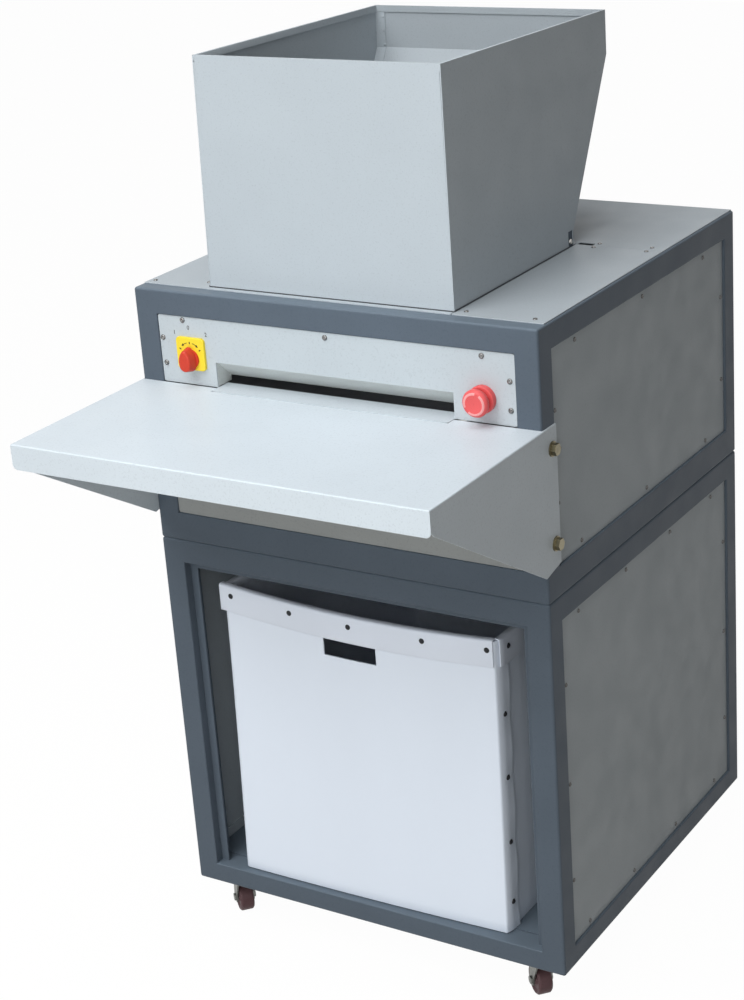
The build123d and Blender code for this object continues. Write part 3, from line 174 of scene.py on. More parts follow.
def coated(
    name,
    colour,
    rough,
    grain,
    grain_depth,
    mottle=0.06,
    waves=0.0,
    stretch=None,
    specks=0.35,
    sheen=0.2,
    uneven=0.13,
):
    """Paint, powder coat or plastic: mottled colour, uneven gloss, a fine grain and slow waves."""
    material, tree, bsdf, coords = shader(name)
    slow = spread(tree, noise(tree, coords, MOTTLE_SCALE, detail=4.0, stretch=stretch), 0.0, 1.0)
    mottled = tint(tree, slow, scaled(colour, 1 - mottle), scaled(colour, 1 + mottle))
    speck = noise(tree, coords, grain * SPECK_SCALE, detail=2.0)
    dark = spread(tree, speck, 0.0, specks, *SPECK_RANGE)
    speckled = tint_over(tree, dark, mottled, scaled(colour, SPECK_TONE))
    tree.links.new(speckled, bsdf.inputs["Base Color"])
    gloss = noise(tree, coords, GLOSS_SCALE)
    dulled = spread(tree, gloss, rough * (1 - uneven), rough * (1 + uneven))
    tree.links.new(dulled, bsdf.inputs["Roughness"])
    normal = None
    if waves:
        normal = bump(tree, noise(tree, coords, WAVE_SCALE, detail=1.0), waves, WAVE_HEIGHT)
    fine = noise(tree, coords, grain, detail=2.0)
    normal = bump(tree, fine, grain_depth, GRAIN_HEIGHT, normal)
    tree.links.new(normal, bsdf.inputs["Normal"])
    bsdf.inputs["Specular IOR Level"].default_value = sheen
    return material


def metal(
    name,
    colour,
    rough,
    stretch=(1, 1, 1),
    lines=260.0,
    dirt=(0.06, 0.055, 0.05),
    dirt_share=0.35,
):
    """Drawn, ground or plated metal: fine lines along one axis, with dull patches."""
    material, tree, bsdf, coords = shader(name)
    patch = noise(tree, coords, PATCH_SCALE, detail=5.0, roughness=0.6)
    dull = spread(tree, patch, 0.0, dirt_share, *PATCH_RANGE)
    tree.links.new(tint(tree, dull, colour, dirt), bsdf.inputs["Base Color"])
    line = noise(tree, coords, lines, detail=4.0, roughness=0.6, stretch=stretch)
    low, high = LINE_GLOSS
    tree.links.new(spread(tree, line, rough * low, rough * high), bsdf.inputs["Roughness"])
    tree.links.new(bump(tree, line, LINE_STRENGTH, LINE_HEIGHT), bsdf.inputs["Normal"])
    bsdf.inputs["Metallic"].default_value = 1.0
    return material


def shade_along(material, coordinate, axis, start, end, colour):
    """Takes a coat's colour to another one between two values on an axis of a texture coordinate."""
    tree = material.node_tree
    base = tree.nodes["Principled BSDF"].inputs["Base Color"]
    under = base.links[0].from_socket
    coords = tree.nodes.new("ShaderNodeTexCoord")
    split = tree.nodes.new("ShaderNodeSeparateXYZ")
    tree.links.new(coords.outputs[coordinate], split.inputs["Vector"])
    share = spread(tree, split.outputs[axis], 0.0, 1.0, start, end)
    tree.links.new(tint_over(tree, share, under, colour), base)


# Surfaces that several coats share.
POWDER = {"grain": 620.0, "grain_depth": 0.28, "mottle": 0.022, "waves": 0.06}
FINE_POWDER = dict(POWDER, grain_depth=0.22)
FINE_PLASTIC = {"grain": 900.0, "grain_depth": 0.05}
DARK_PLASTIC = {"grain": 800.0, "grain_depth": 0.12, "mottle": 0.10}
BIN_PLASTIC = {"grain": 300.0, "specks": 0.0, "sheen": 0.4}

FRAME_PAINT = coated(
    "frame_paint",
    (0.105, 0.128, 0.157),
    0.42,
    grain=700.0,
    grain_depth=0.10,
    mottle=0.05,
    waves=0.10,
    sheen=0.08,
)
PANEL_COAT = coated("panel_coat", (0.490, 0.530, 0.560), 0.50, **POWDER)
# Painted shade: the side and rear panels' coat is a darker copy of the panel coat, standing for the
# shade on those faces.
SIDE_SHADED_COAT = coated("side_shaded_coat", (0.415, 0.448, 0.468), 0.50, **POWDER)
# Painted shade: the top covers' and hopper back's coat is a darker copy of the panel coat, standing
# for the shade round and inside the hopper.
TOP_SHADED_COAT = coated("top_shaded_coat", (0.440, 0.476, 0.503), 0.50, **POWDER)
# Painted light: the feed table's coat is a lighter copy of the panel coat, standing for the stronger
# light that falls on the table.
TABLE_LIT_COAT = coated("table_lit_coat", (0.655, 0.704, 0.742), 0.40, **FINE_POWDER)
# Painted light: the front panel's coat is a lighter copy of the panel coat, standing for the stronger
# light on it.
FASCIA_LIT_COAT = coated("fascia_lit_coat", (0.520, 0.558, 0.580), 0.45, **FINE_POWDER)
HOOD_COAT = coated("hood_coat", (0.625, 0.645, 0.625), 0.45, **FINE_POWDER)
# Painted shade: the panel under the feed table gets a darker copy of the panel coat, standing for the
# table's shadow on it.
SHADED_LOWER_COAT = coated("shaded_lower_coat", (0.332, 0.338, 0.330), 0.55, **dict(POWDER, mottle=0.05))
# Painted light: the throat's coat takes the feed table's lighter tone; behind the hood it carries a
# painted shade, set below.
THROAT_COAT = coated("throat_coat", (0.590, 0.635, 0.670), 0.50, **dict(POWDER, mottle=0.03))
BIN_SHEET = coated(
    "bin_sheet",
    (0.84, 0.89, 0.98),
    0.30,
    grain_depth=0.04,
    mottle=0.01,
    waves=0.16,
    stretch=(1, 1, 0.3),
    uneven=0.02,
    **BIN_PLASTIC,
)
BIN_BAND = coated(
    "bin_band",
    (0.81, 0.85, 0.94),
    0.34,
    grain_depth=0.06,
    mottle=0.02,
    waves=0.10,
    **BIN_PLASTIC,
)
YELLOW = coated("switch_yellow", (0.93, 0.70, 0.045), 0.30, mottle=0.03, **FINE_PLASTIC)
RED = coated("switch_red", (0.62, 0.055, 0.03), 0.26, mottle=0.05, **FINE_PLASTIC)
CORAL = coated("stop_coral", (0.80, 0.115, 0.115), 0.30, mottle=0.04, **FINE_PLASTIC)
# Pale coral for the stop head's arcs: twist-arrow print, and a painted highlight of the head's rim.
PALE_PRINT_AND_HIGHLIGHT = coated("stop_print_and_highlight", (0.88, 0.36, 0.35), 0.35, mottle=0.03, **FINE_PLASTIC)
BLACK = coated("dark_plastic", (0.022, 0.022, 0.025), 0.45, **DARK_PLASTIC)
# Painted shade: a near-black coat for the strips that stand for the shade in the hopper foot's
# joints.
FOOT_SHADE = coated("foot_shade_strip", (0.065, 0.069, 0.075), 0.60, **DARK_PLASTIC)
INK = coated("dial_ink", (0.05, 0.035, 0.02), 0.60, mottle=0.05, **FINE_PLASTIC)
WHEEL = coated("wheel_brown", (0.108, 0.056, 0.060), 0.48, grain=420.0, grain_depth=0.20, mottle=0.16)
MOTOR = coated("motor_paint", (0.060, 0.085, 0.125), 0.42, grain=500.0, grain_depth=0.15, mottle=0.08)
IRON = coated("gearbox_iron", (0.085, 0.092, 0.100), 0.58, grain=260.0, grain_depth=0.40, mottle=0.14)
BOX_GREY = coated("box_grey", (0.36, 0.38, 0.40), 0.45, grain=600.0, grain_depth=0.18, mottle=0.04)
STEEL = metal("cutter_steel", (0.46, 0.455, 0.44), 0.34, stretch=(40, 1, 1))
PLATE_STEEL = metal("bare_steel", (0.40, 0.395, 0.38), 0.44, stretch=(1, 12, 12), lines=120.0)
ZINC = metal("caster_zinc", (0.19, 0.195, 0.18), 0.42, lines=180.0)
SCREW = metal("screw_steel", (0.50, 0.49, 0.46), 0.30, lines=500.0)
DARK_SCREW = metal("screw_dark", (0.10, 0.098, 0.095), 0.42, lines=500.0)
PANEL_SCREW = metal(
    "screw_blackened",
    (0.20, 0.195, 0.19),
    0.24,
    lines=500.0,
    dirt=(0.03, 0.03, 0.03),
    dirt_share=0.8,
)
YELLOW_ZINC = metal(
    "yellow_zinc",
    (0.22, 0.195, 0.125),
    0.34,
    lines=300.0,
    dirt=(0.05, 0.04, 0.022),
    dirt_share=0.75,
)

# Painted shade: the infeed guides turn dark behind the feed hood, between two places in Y, standing
# for the shade inside the throat.
THROAT_SHADE_START = FRONT + 0.0255
THROAT_SHADE_END = FRONT + 0.0275
THROAT_SHADE = (0.012, 0.012, 0.014)
shade_along(THROAT_COAT, "Object", "Y", THROAT_SHADE_START, THROAT_SHADE_END, THROAT_SHADE)

# Painted sheen: the frame's faces and edges that look up are lightened, a painted highlight of the
# light from above.
UP_SHEEN_START = 0.3
UP_SHEEN_END = 0.9
UP_SHEEN = (0.150, 0.185, 0.222)
shade_along(FRAME_PAINT, "Normal", "Z", UP_SHEEN_START, UP_SHEEN_END, UP_SHEEN)

LOOKS = {
    FRAME_PAINT: (
        "upper_frame_posts upper_frame_top_rails upper_frame_base_rails lower_frame_posts "
        "lower_frame_top_rails lower_frame_base_rails opening_stop_strips floor_panel"
    ),
    PANEL_COAT: "hopper_shell",
    SIDE_SHADED_COAT: "panel_ledges upper_side_panels lower_side_panels upper_rear_panel lower_rear_panel",
    TOP_SHADED_COAT: "top_left_panel top_right_panel top_rear_panel hopper_back",
    TABLE_LIT_COAT: "feed_table",
    FASCIA_LIT_COAT: "front_panel",
    HOOD_COAT: "feed_hood",
    SHADED_LOWER_COAT: "front_lower_panel",
    THROAT_COAT: "infeed_guides",
    PLATE_STEEL: "base_plate cutter_side_plates discharge_chute",
    STEEL: (
        "front_cutter_stack rear_cutter_stack stripper_combs front_cutter_shaft rear_cutter_shaft "
        "front_timing_gear rear_timing_gear drive_gear motor_pinion cutter_bearings"
    ),
    YELLOW_ZINC: "table_bolts",
    YELLOW: "switch_plate",
    RED: "switch_knob",
    CORAL: "stop_button_collar stop_button_head stop_button_plunger",
    BLACK: "control_contact_blocks cable_gland",
    IRON: "gearbox",
    MOTOR: "motor",
    BOX_GREY: "control_box",
    BIN_SHEET: "bin_body",
    BIN_BAND: "bin_rim",
    ZINC: (
        "caster_plates caster_fork_front_left caster_fork_front_right "
        "caster_fork_rear_left caster_fork_rear_right"
    ),
    WHEEL: (
        "caster_wheel_front_left caster_wheel_front_right "
        "caster_wheel_rear_left caster_wheel_rear_right"
    ),
}
for material, names in LOOKS.items():
    for name in names.split():
        nodes[name].data.materials.clear()
        nodes[name].data.materials.append(material)


# Distance in metres within which a node's split vertices are joined before its edges are rounded.
WELD_REACH = 0.00002

# Rounded edges: widths in metres, and angles in degrees above which an edge is rounded.
SHEET_EDGE = 0.0004
TABLE_EDGE = 0.0010
BLOCK_EDGE = 0.0006
FORK_EDGE = 0.0005
WHEEL_EDGE = 0.0008
EDGE_ANGLE = 40
HOPPER_EDGE_ANGLE = 12
CUT_EDGE_ANGLE = 50


def soften(name, width, segments=2, limit=EDGE_ANGLE):
    """Rounds a CAD node's edges by a small width where they turn by more than an angle."""
    obj = nodes[name]
    weld = obj.modifiers.new("weld", "WELD")
    weld.merge_threshold = WELD_REACH
    bevel = obj.modifiers.new("bevel", "BEVEL")
    bevel.width = width
    bevel.segments = segments
    bevel.limit_method = "ANGLE"
    bevel.angle_limit = math.radians(limit)
    bevel.use_clamp_overlap = True
    normal = obj.modifiers.new("normal", "WEIGHTED_NORMAL")
    normal.keep_sharp = False


for name in (
    "front_panel front_lower_panel top_left_panel top_right_panel top_rear_panel "
    "upper_side_panels lower_side_panels upper_rear_panel lower_rear_panel feed_hood infeed_guides"
).split():
    soften(name, SHEET_EDGE)
for name in ("hopper_shell", "hopper_back"):
    soften(name, SHEET_EDGE, limit=HOPPER_EDGE_ANGLE)
soften("feed_table", TABLE_EDGE, segments=3)
for name in (
    "table_bolts motor gearbox control_box stop_button_head stop_button_collar caster_plates"
).split():
    soften(name, BLOCK_EDGE)
for name in ("front_left", "front_right", "rear_left", "rear_right"):
    soften(f"caster_fork_{name}", FORK_EDGE)
    soften(f"caster_wheel_{name}", WHEEL_EDGE)


# Meshes

# Radius in metres below which a profile point is on the axis, steps round a turned head, and the
# angle in radians from one scattered copy to the next.
ON_AXIS = 1e-9
TURN_STEPS = 20
SPIN_STEP = 0.9

# Profiles of turned heads, and the size and lift of a screw's recess, as shares of radius and height.
SCREW_PROFILE = ((0, -0.2), (1, -0.2), (1, 0.25), (0.93, 0.55), (0.75, 0.85), (0.4, 0.98), (0, 1))
RIVET_PROFILE = ((0, -0.3), (1, -0.3), (1, 0.12), (0.82, 0.3), (0.72, 0.62), (0.45, 0.92), (0, 1))
RECESS_LENGTH = 1.15
RECESS_WIDTH = 0.24
RECESS_DEPTH = 0.9
RECESS_LIFT = 0.85


def mesh_of(bm, name="made"):
    """A mesh from a bmesh, which is freed."""
    mesh = bpy.data.meshes.new(name)
    bm.to_mesh(mesh)
    bm.free()
    return mesh


def add(name, bm, material, body, smooth=True):
    """A new piece in the part's frame that moves with a body."""
    mesh = mesh_of(bm, name)
    for polygon in mesh.polygons:
        polygon.use_smooth = smooth
    obj = bpy.data.objects.new(name, mesh)
    bpy.context.scene.collection.objects.link(obj)
    mesh.materials.append(material)
    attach(obj, body)
    return obj


def turned_head(profile, radius, height):
    """A turned solid about Z, rooted just below Z = 0, whose profile starts and ends on the axis."""
    bm = bmesh.new()
    turns = [2 * math.pi * k / TURN_STEPS for k in range(TURN_STEPS)]
    rings = []
    for out, rise in profile:
        reach, z = radius * out, height * rise
        if reach < ON_AXIS:
            rings.append([bm.verts.new((0, 0, z))])
        else:
            points = [(reach * math.cos(a), reach * math.sin(a), z) for a in turns]
            rings.append([bm.verts.new(point) for point in points])
    for low, high in zip(rings, rings[1:]):
        for k in range(TURN_STEPS):
            after = (k + 1) % TURN_STEPS
            if len(low) == 1:
                bm.faces.new((low[0], high[after], high[k]))
            elif len(high) == 1:
                bm.faces.new((low[k], low[after], high[0]))
            else:
                bm.faces.new((low[k], low[after], high[after], high[k]))
    bmesh.ops.recalc_face_normals(bm, faces=bm.faces)
    return mesh_of(bm)


def cut(mesh, cutter):
    """One mesh less another, as a new mesh."""
    whole = bpy.data.objects.new("whole", mesh)
    tool = bpy.data.objects.new("tool", cutter)
    for obj in (whole, tool):
        bpy.context.scene.collection.objects.link(obj)
    modifier = whole.modifiers.new("cut", "BOOLEAN")
    modifier.object = tool
    modifier.operation = "DIFFERENCE"
    modifier.solver = "EXACT"
    modifier.use_self = True
    bpy.context.view_layer.update()
    graph = bpy.context.evaluated_depsgraph_get()
    done = bpy.data.meshes.new_from_object(whole.evaluated_get(graph))
    for obj in (whole, tool):
        bpy.data.objects.remove(obj)
    return done


def screw_head(radius, height):
    """A domed screw head with a cross recess, rooted just below Z = 0."""
    head = turned_head(SCREW_PROFILE, radius, height)
    size = (radius * RECESS_LENGTH, radius * RECESS_WIDTH, height * RECESS_DEPTH, 1)
    lift = Matrix.Translation((0, 0, height * RECESS_LIFT))
    bm = bmesh.new()
    for turn in (0, math.pi / 2):
        matrix = lift @ Matrix.Rotation(turn, 4, "Z") @ Matrix.Diagonal(size)
        bmesh.ops.create_cube(bm, size=1, matrix=matrix)
    return cut(head, mesh_of(bm))


def facing(direction):
    """The turn that takes Z to a direction."""
    return Vector((0, 0, 1)).rotation_difference(Vector(direction)).to_matrix().to_4x4()


def scatter(name, mesh, places, direction, material, body):
    """Copies of one mesh at several places, joined in one piece, each turned by its own angle."""
    bm = bmesh.new()
    turn = facing(direction)
    for k, place in enumerate(places):
        spin = Matrix.Rotation(SPIN_STEP * k, 4, "Z")
        before = len(bm.verts)
        bm.from_mesh(mesh)
        bm.verts.ensure_lookup_table()
        matrix = Matrix.Translation(place) @ turn @ spin
        bmesh.ops.transform(bm, matrix=matrix, verts=bm.verts[before:])
    return add(name, bm, material, body)


# Screws of the panels and covers, on their outer faces

# Radius and height of the heads, in metres.
SMALL_HEAD = (0.0042, 0.0022)
TINY_HEAD = (0.0034, 0.0018)
small_head = screw_head(*SMALL_HEAD)
tiny_head = screw_head(*TINY_HEAD)

# Places in X and Z on the front panel, and in X and Y on the top covers.
FRONT_SCREWS = ((83, 968), (44, 938), (46, 899), (333, 966), (586, 966), (628, 934), (628, 892))
TOP_SCREWS = (
    (14, 37),
    (102, 52),
    (545, 40),
    (652, 38),
    (564, 397),
    (650, 397),
    (20, 397),
    (100, 397),
    (564, 418),
    (650, 418),
    (20, 418),
    (100, 418),
)

# Screws round the side and rear panels: name, sheets, the axis they face along, counts along and
# up, inset and sides; and the shares of their pitch that are left at the ends of a row.
PANEL_SCREWS = (
    ("upper_side_screws", "upper_side_panels", 0, (3, 2), 9, (-1, 1)),
    ("lower_side_screws", "lower_side_panels", 0, (4, 3), 9, (-1, 1)),
    ("upper_rear_screws", "upper_rear_panel", 1, (4, 2), 10, (1,)),
    ("lower_rear_screws", "lower_rear_panel", 1, (4, 3), 10, (1,)),
)
SPAN_END = 0.3
RISE_END = 0.6

panel_y = (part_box("front_panel")[0].y - FRONT) / MM
top_z = (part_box("top_rear_panel")[1].z - BASE) / MM
scatter(
    "front_panel_screws",
    small_head,
    [at(x, panel_y, z) for x, z in FRONT_SCREWS],
    (0, -1, 0),
    PANEL_SCREW,
    "cabinet",
)
scatter(
    "top_cover_screws",
    tiny_head,
    [at(x, y, top_z) for x, y in TOP_SCREWS],
    (0, 0, 1),
    PANEL_SCREW,
    "cabinet",
)


def spaced(low, high, count, end):
    """Even places between two values, with a share of their pitch left at each end."""
    return [low + (high - low) * (k + end) / (count - 1 + 2 * end) for k in range(count)]


def edge_places(span, rise, counts, inset):
    """Places along the edges of a rectangle, set in from them and clear of its corners."""
    left, right = span[0] + inset, span[1] - inset
    low, high = rise[0] + inset, rise[1] - inset
    places = []
    for a in spaced(left, right, counts[0], SPAN_END):
        places += [(a, low), (a, high)]
    for z in spaced(low, high, counts[1], RISE_END):
        places += [(left, z), (right, z)]
    return places


def panel_screws(name, node, axis, counts, inset, sides):
    """Screws round the edges of sheets that face along X (axis 0) or Y (axis 1)."""
    low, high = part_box(node)
    other = 1 - axis
    span = (low[other] / MM, high[other] / MM)
    rise = (low.z / MM, high.z / MM)
    for side in sides:
        places = []
        for a, z in edge_places(span, rise, counts, inset):
            place = Vector((0, 0, z * MM))
            place[other] = a * MM
            place[axis] = high[axis] if side > 0 else low[axis]
            places.append(place)
        direction = [0, 0, 0]
        direction[axis] = side
        label = name
        if axis == 0:
            label += "_right" if side > 0 else "_left"
        scatter(label, tiny_head, places, direction, DARK_SCREW, "cabinet")


for row in PANEL_SCREWS:
    panel_screws(*row)

# Waste bin: soft riveted sheets in place of the bin's plain solids, in millimetres

BIN_LOW, BIN_HIGH = box_mm("bin_body")
RIM_LOW, RIM_HIGH = box_mm("bin_rim")
RIM_TOP = RIM_HIGH.z
BIN_MID = (BIN_LOW.x + BIN_HIGH.x) / 2
BIN_HALF = (BIN_HIGH.x - BIN_LOW.x) / 2
BIN_SHEET_T = 3.0
WALL_INSET = 1.55 * BIN_SHEET_T
WALL_BACK = 18.0
BACK_FOLD_R = 10.0
FLANGE_REACH = 32.0
FLANGE_GAPE = 2.2
FOLD_R = 6.0
CURL_R = 30.0
CURL_START = math.radians(60)
CURL_ROWS = 8
CREASE_WIDTH = 1.0

# Hand hole in the front sheet: left, right, bottom and top.
HAND_HOLE = (275.0, 368.0, 455.0, 487.5)

# Bands folded over the rim.
BAND_T = 1.6
BAND_H = 43.0
BAND_LAP = 12.0
BAND_TURN = 2.5
BAND_END = 4.5
BAND_EDGE = 0.3
SIDE_BAND_INSET = 6.0

# Places on the side bands, back from the bin's front, where the curl needs points of its own.
CURL_STATIONS = (8, 10, 12, 14, 16, 18)

# How far the soft sheets hang, bow and bulge, and the powers by which that fades.
SAG = 7.0
TILT = 4.0
SAG_FADE = 3
BOW = 9.0
BOW_AT_FOOT = 0.35
FOOT_OUT = 10.0
FOOT_SKEW = 0.4
FOOT_FADE = 1.5
SIDE_BULGE = 6.0
BULGE_FADE = 8
REAR_DROOP = 0.5
SIDE_DIP = 3.0

# Grid steps of the sheets and bands.
FLANGE_STEPS = 4
FOLD_STEPS = 5
FRONT_STEPS = 36
FRONT_ROWS = 30
SIDE_STEPS = 18
BACK_STEPS = 16
WALL_ROWS = 24
BOTTOM_STEPS = 6
BAND_STEPS = 30

# Rivets: radius and height in metres, drop below the rim, and places in Z, X and Y.
RIVET = (0.0044, 0.0026)
RIVET_DROP = 15.5
SIDE_RIVET_DROP = 19.5
FLANGE_RIVETS = (84.0, 187.0, 296.0, 401.0)
FRONT_RIVETS = (106.0, 218.0, 325.0, 452.0, 558.0)
SIDE_RIVETS = (54.0, 182.0, 310.0, 438.0, 560.0)


def across(x):
    """Place across the bin, from -1 at its left wall to 1 at its right one."""
    return max(-1.0, min(1.0, (x - BIN_MID) / BIN_HALF))


def up(z):
    """Place up the bin, from 0 at its bottom to 1 at its rim."""
    return max(0.0, min(1.0, (z - BIN_LOW.z) / (RIM_TOP - BIN_LOW.z)))


def droop(x, z):
    """Change of height where the soft top edge hangs."""
    share = across(x)
    return (-SAG * (1 - share * share) - TILT * share) * up(z) ** SAG_FADE


def bow(x, z):
    """Change of Y where the front sheet bellies out and its foot stands forward."""
    share = across(x)
    belly = BOW * (1 - share * share) * (BOW_AT_FOOT + (1 - BOW_AT_FOOT) * up(z))
    return -belly - FOOT_OUT * (1 - FOOT_SKEW * share) * (1 - up(z)) ** FOOT_FADE


def steps(low, high, count, *extra):
    """Even stations between two values, with some exact ones added."""
    return sorted({low + (high - low) * k / count for k in range(count + 1)} | set(extra))


def corner(centre, radius, start):
    """Points of a quarter turn in plan, anticlockwise from an angle in degrees."""
    angles = [math.radians(start + 90 * k / FOLD_STEPS) for k in range(FOLD_STEPS + 1)]
    return [(centre[0] + radius * math.cos(a), centre[1] + radius * math.sin(a)) for a in angles]


def curl(x, y):
    """Points of the right flange's curl in plan, from its crease at y to its side line at x."""
    sweep = math.pi / 2 - CURL_START
    angles = [CURL_START + sweep * k / CURL_ROWS for k in range(CURL_ROWS + 1)]
    middle = y + CURL_R * math.cos(CURL_START)
    return [(x - CURL_R * (1 - math.sin(a)), middle - CURL_R * math.cos(a)) for a in angles]


def curl_inset(y):
    """How far the right flange lies in from its side line at a place in Y."""
    reach = BIN_LOW.y + BIN_SHEET_T / 2 + CURL_R * math.cos(CURL_START) - y
    return CURL_R - math.sqrt(CURL_R**2 - max(0.0, reach) ** 2)


def sheet(rows, skip=None):
    """A grid of faces through rows of points in millimetres, less the cells that skip names."""
    bm = bmesh.new()
    grid = [[bm.verts.new(at(*point)) for point in row] for row in rows]
    for j in range(len(rows) - 1):
        for i in range(len(rows[0]) - 1):
            if skip and skip(rows[j][i], rows[j + 1][i + 1]):
                continue
            bm.faces.new((grid[j][i], grid[j][i + 1], grid[j + 1][i + 1], grid[j + 1][i]))
    loose = [vertex for vertex in bm.verts if not vertex.link_faces]
    bmesh.ops.delete(bm, geom=loose, context="VERTS")
    bmesh.ops.recalc_face_normals(bm, faces=bm.faces)
    return bm


def thicken(obj, thickness, edge=0.25):
    """Gives a sheet its thickness, half to each side, and rounds its cut edges."""
    solid = obj.modifiers.new("solid", "SOLIDIFY")
    solid.thickness = thickness * MM
    solid.offset = 0.0
    bevel = obj.modifiers.new("bevel", "BEVEL")
    bevel.width = thickness * edge * MM
    bevel.segments = 2
    bevel.limit_method = "ANGLE"
    bevel.angle_limit = math.radians(CUT_EDGE_ANGLE)
    return obj


def bin_front():
    """The front sheet, folded round onto both sides and cut for the hand hole."""
    half = BIN_SHEET_T / 2
    x0, x1 = BIN_LOW.x + half, BIN_HIGH.x - half
    y0, y1 = BIN_LOW.y + half, BIN_LOW.y + FLANGE_REACH
    hole_x0, hole_x1, hole_z0, hole_z1 = HAND_HOLE
    right = curl(x1, y0)
    crease = right[0][0]
    curl_end = right[-1][1]
    crease_near = crease - CREASE_WIDTH
    front_x = steps(x0 + FOLD_R, crease, FRONT_STEPS, hole_x0, hole_x1, crease_near)
    plan = [(x0, y) for y in steps(y0 + FOLD_R, y1, FLANGE_STEPS)[:0:-1]]
    plan += corner((x0 + FOLD_R, y0 + FOLD_R), FOLD_R, 180)
    plan += [(x, y0) for x in front_x[1:-1]]
    plan += right
    plan += [(x1, y) for y in steps(curl_end, y1, FLANGE_STEPS)[1:]]

    def place(x, y, z):
        """A point of the bowed sheet; its flanges stand off a little between their rivets."""
        back = max(0.0, (y - y0) / FLANGE_REACH)
        pitch = FLANGE_RIVETS[1] - FLANGE_RIVETS[0]
        wave = 0.5 - 0.5 * math.cos(2 * math.pi * (z - FLANGE_RIVETS[0]) / pitch)
        gape = FLANGE_GAPE * back**2 * wave
        return x + math.copysign(gape, x - BIN_MID), y + bow(x, z), z + droop(x, z)

    def in_hole(low, high):
        """Whether a cell lies in the hand hole."""
        x = (low[0] + high[0]) / 2
        z = (low[2] + high[2]) / 2 - droop(low[0], hole_z0)
        return hole_x0 < x < hole_x1 and hole_z0 < z < hole_z1 and high[1] < y0 + FOLD_R

    levels = steps(BIN_LOW.z, BIN_HIGH.z, FRONT_ROWS, hole_z0, hole_z1)
    rows = [[place(x, y, z) for x, y in plan] for z in levels]
    piece = add("bin_front", sheet(rows, in_hole), BIN_SHEET, "bin")
    return thicken(piece, BIN_SHEET_T)


def bin_walls():
    """The two sides and the back in one bent sheet, bellying out, and the bottom."""
    x0, x1 = BIN_LOW.x + WALL_INSET, BIN_HIGH.x - WALL_INSET
    y0, y1 = BIN_LOW.y + WALL_BACK, BIN_HIGH.y - BIN_SHEET_T / 2
    radius = BACK_FOLD_R
    plan = [(x0, y) for y in steps(y0, y1 - radius, SIDE_STEPS)]
    plan += corner((x0 + radius, y1 - radius), radius, 90)[::-1]
    plan += [(x, y1) for x in steps(x0 + radius, x1 - radius, BACK_STEPS)[1:-1]]
    plan += corner((x1 - radius, y1 - radius), radius, 0)[::-1]
    plan += [(x1, y) for y in steps(y0, y1 - radius, SIDE_STEPS)[::-1]]

    def place(x, y, z):
        """A point of the bent sheet; the sides belly out in their middle."""
        along = max(0.0, min(1.0, (y - y0) / (y1 - y0)))
        belly = SIDE_BULGE * math.sin(math.pi * along) ** 2 * math.sin(math.pi * up(z))
        side = 1.0 if x > BIN_MID else -1.0
        at_side = min(1.0, abs(across(x)) ** BULGE_FADE)
        return x + side * belly * at_side, y, z + droop(x, z) * (1 - REAR_DROOP * along)

    levels = steps(BIN_LOW.z, BIN_HIGH.z, WALL_ROWS)
    bm = sheet([[place(x, y, z) for x, y in plan] for z in levels])
    inset = BIN_SHEET_T
    bottom_x = steps(x0 + inset, x1 - inset, BOTTOM_STEPS)
    bottom_y = steps(BIN_LOW.y + 2 * inset, y1 - inset, BOTTOM_STEPS)
    bottom_z = BIN_LOW.z + BIN_SHEET_T / 2
    bottom = sheet([[(x, y, bottom_z) for x in bottom_x] for y in bottom_y])
    bm.from_mesh(mesh_of(bottom))
    piece = add("bin_walls", bm, BIN_SHEET, "bin")
    return thicken(piece, BIN_SHEET_T)


def band_profile():
    """A band's section as (distance in from its face, height below its top)."""
    turn = BAND_TURN
    face = [(0.0, -BAND_H), (0.0, -BAND_H * 0.66), (0.0, -BAND_H * 0.33), (0.0, -turn)]
    fold = [(turn * 0.3, -turn * 0.3), (turn, 0.0)]
    lap = [(BAND_LAP - turn, 0.0), (BAND_LAP - turn * 0.3, -turn * 0.3), (BAND_LAP, -turn)]
    return face + fold + lap + [(BAND_LAP, -BAND_H * 0.35)]


def bin_bands():
    """Four bands folded over the rim, open at the corners."""
    half = BAND_T / 2
    front_x = steps(RIM_LOW.x, BIN_HIGH.x - BAND_END, BAND_STEPS)
    curl_y = [BIN_LOW.y + reach for reach in CURL_STATIONS]
    side_low, side_high = BIN_LOW.y + SIDE_BAND_INSET, BIN_HIGH.y - SIDE_BAND_INSET
    side_y = steps(side_low, side_high, BAND_STEPS, *curl_y)

    def cross_rows(face, inward):
        """Rows of a band along X, its face at a Y; the front one follows the belly."""
        rows = []
        for inset, drop in band_profile():
            row = []
            for x in front_x:
                belly = bow(x, RIM_TOP) if inward > 0 else 0.0
                row.append((x, face + inward * inset + belly, RIM_TOP + drop + droop(x, RIM_TOP)))
            rows.append(row)
        return rows

    def side_rows(face, inward):
        """Rows of a band along Y, its face at an X; the right one follows the curl."""
        rows = []
        for inset, drop in band_profile():
            level = RIM_TOP - BAND_T + drop + droop(face, RIM_TOP)
            row = []
            for k, y in enumerate(side_y):
                back = curl_inset(y) if inward < 0 else 0.0
                dip = SIDE_DIP * math.sin(math.pi * k / (len(side_y) - 1))
                row.append((face + inward * (inset + back), y, level - dip))
            rows.append(row)
        return rows

    bands = {
        "bin_band_front": cross_rows(RIM_LOW.y + half, 1),
        "bin_band_rear": cross_rows(RIM_HIGH.y - half, -1),
        "bin_band_left": side_rows(RIM_LOW.x + half, 1),
        "bin_band_right": side_rows(RIM_HIGH.x - half, -1),
    }
    pieces = []
    for name, rows in bands.items():
        piece = add(name, sheet(rows), BIN_BAND, "bin")
        pieces.append(thicken(piece, BAND_T, BAND_EDGE))
    return pieces


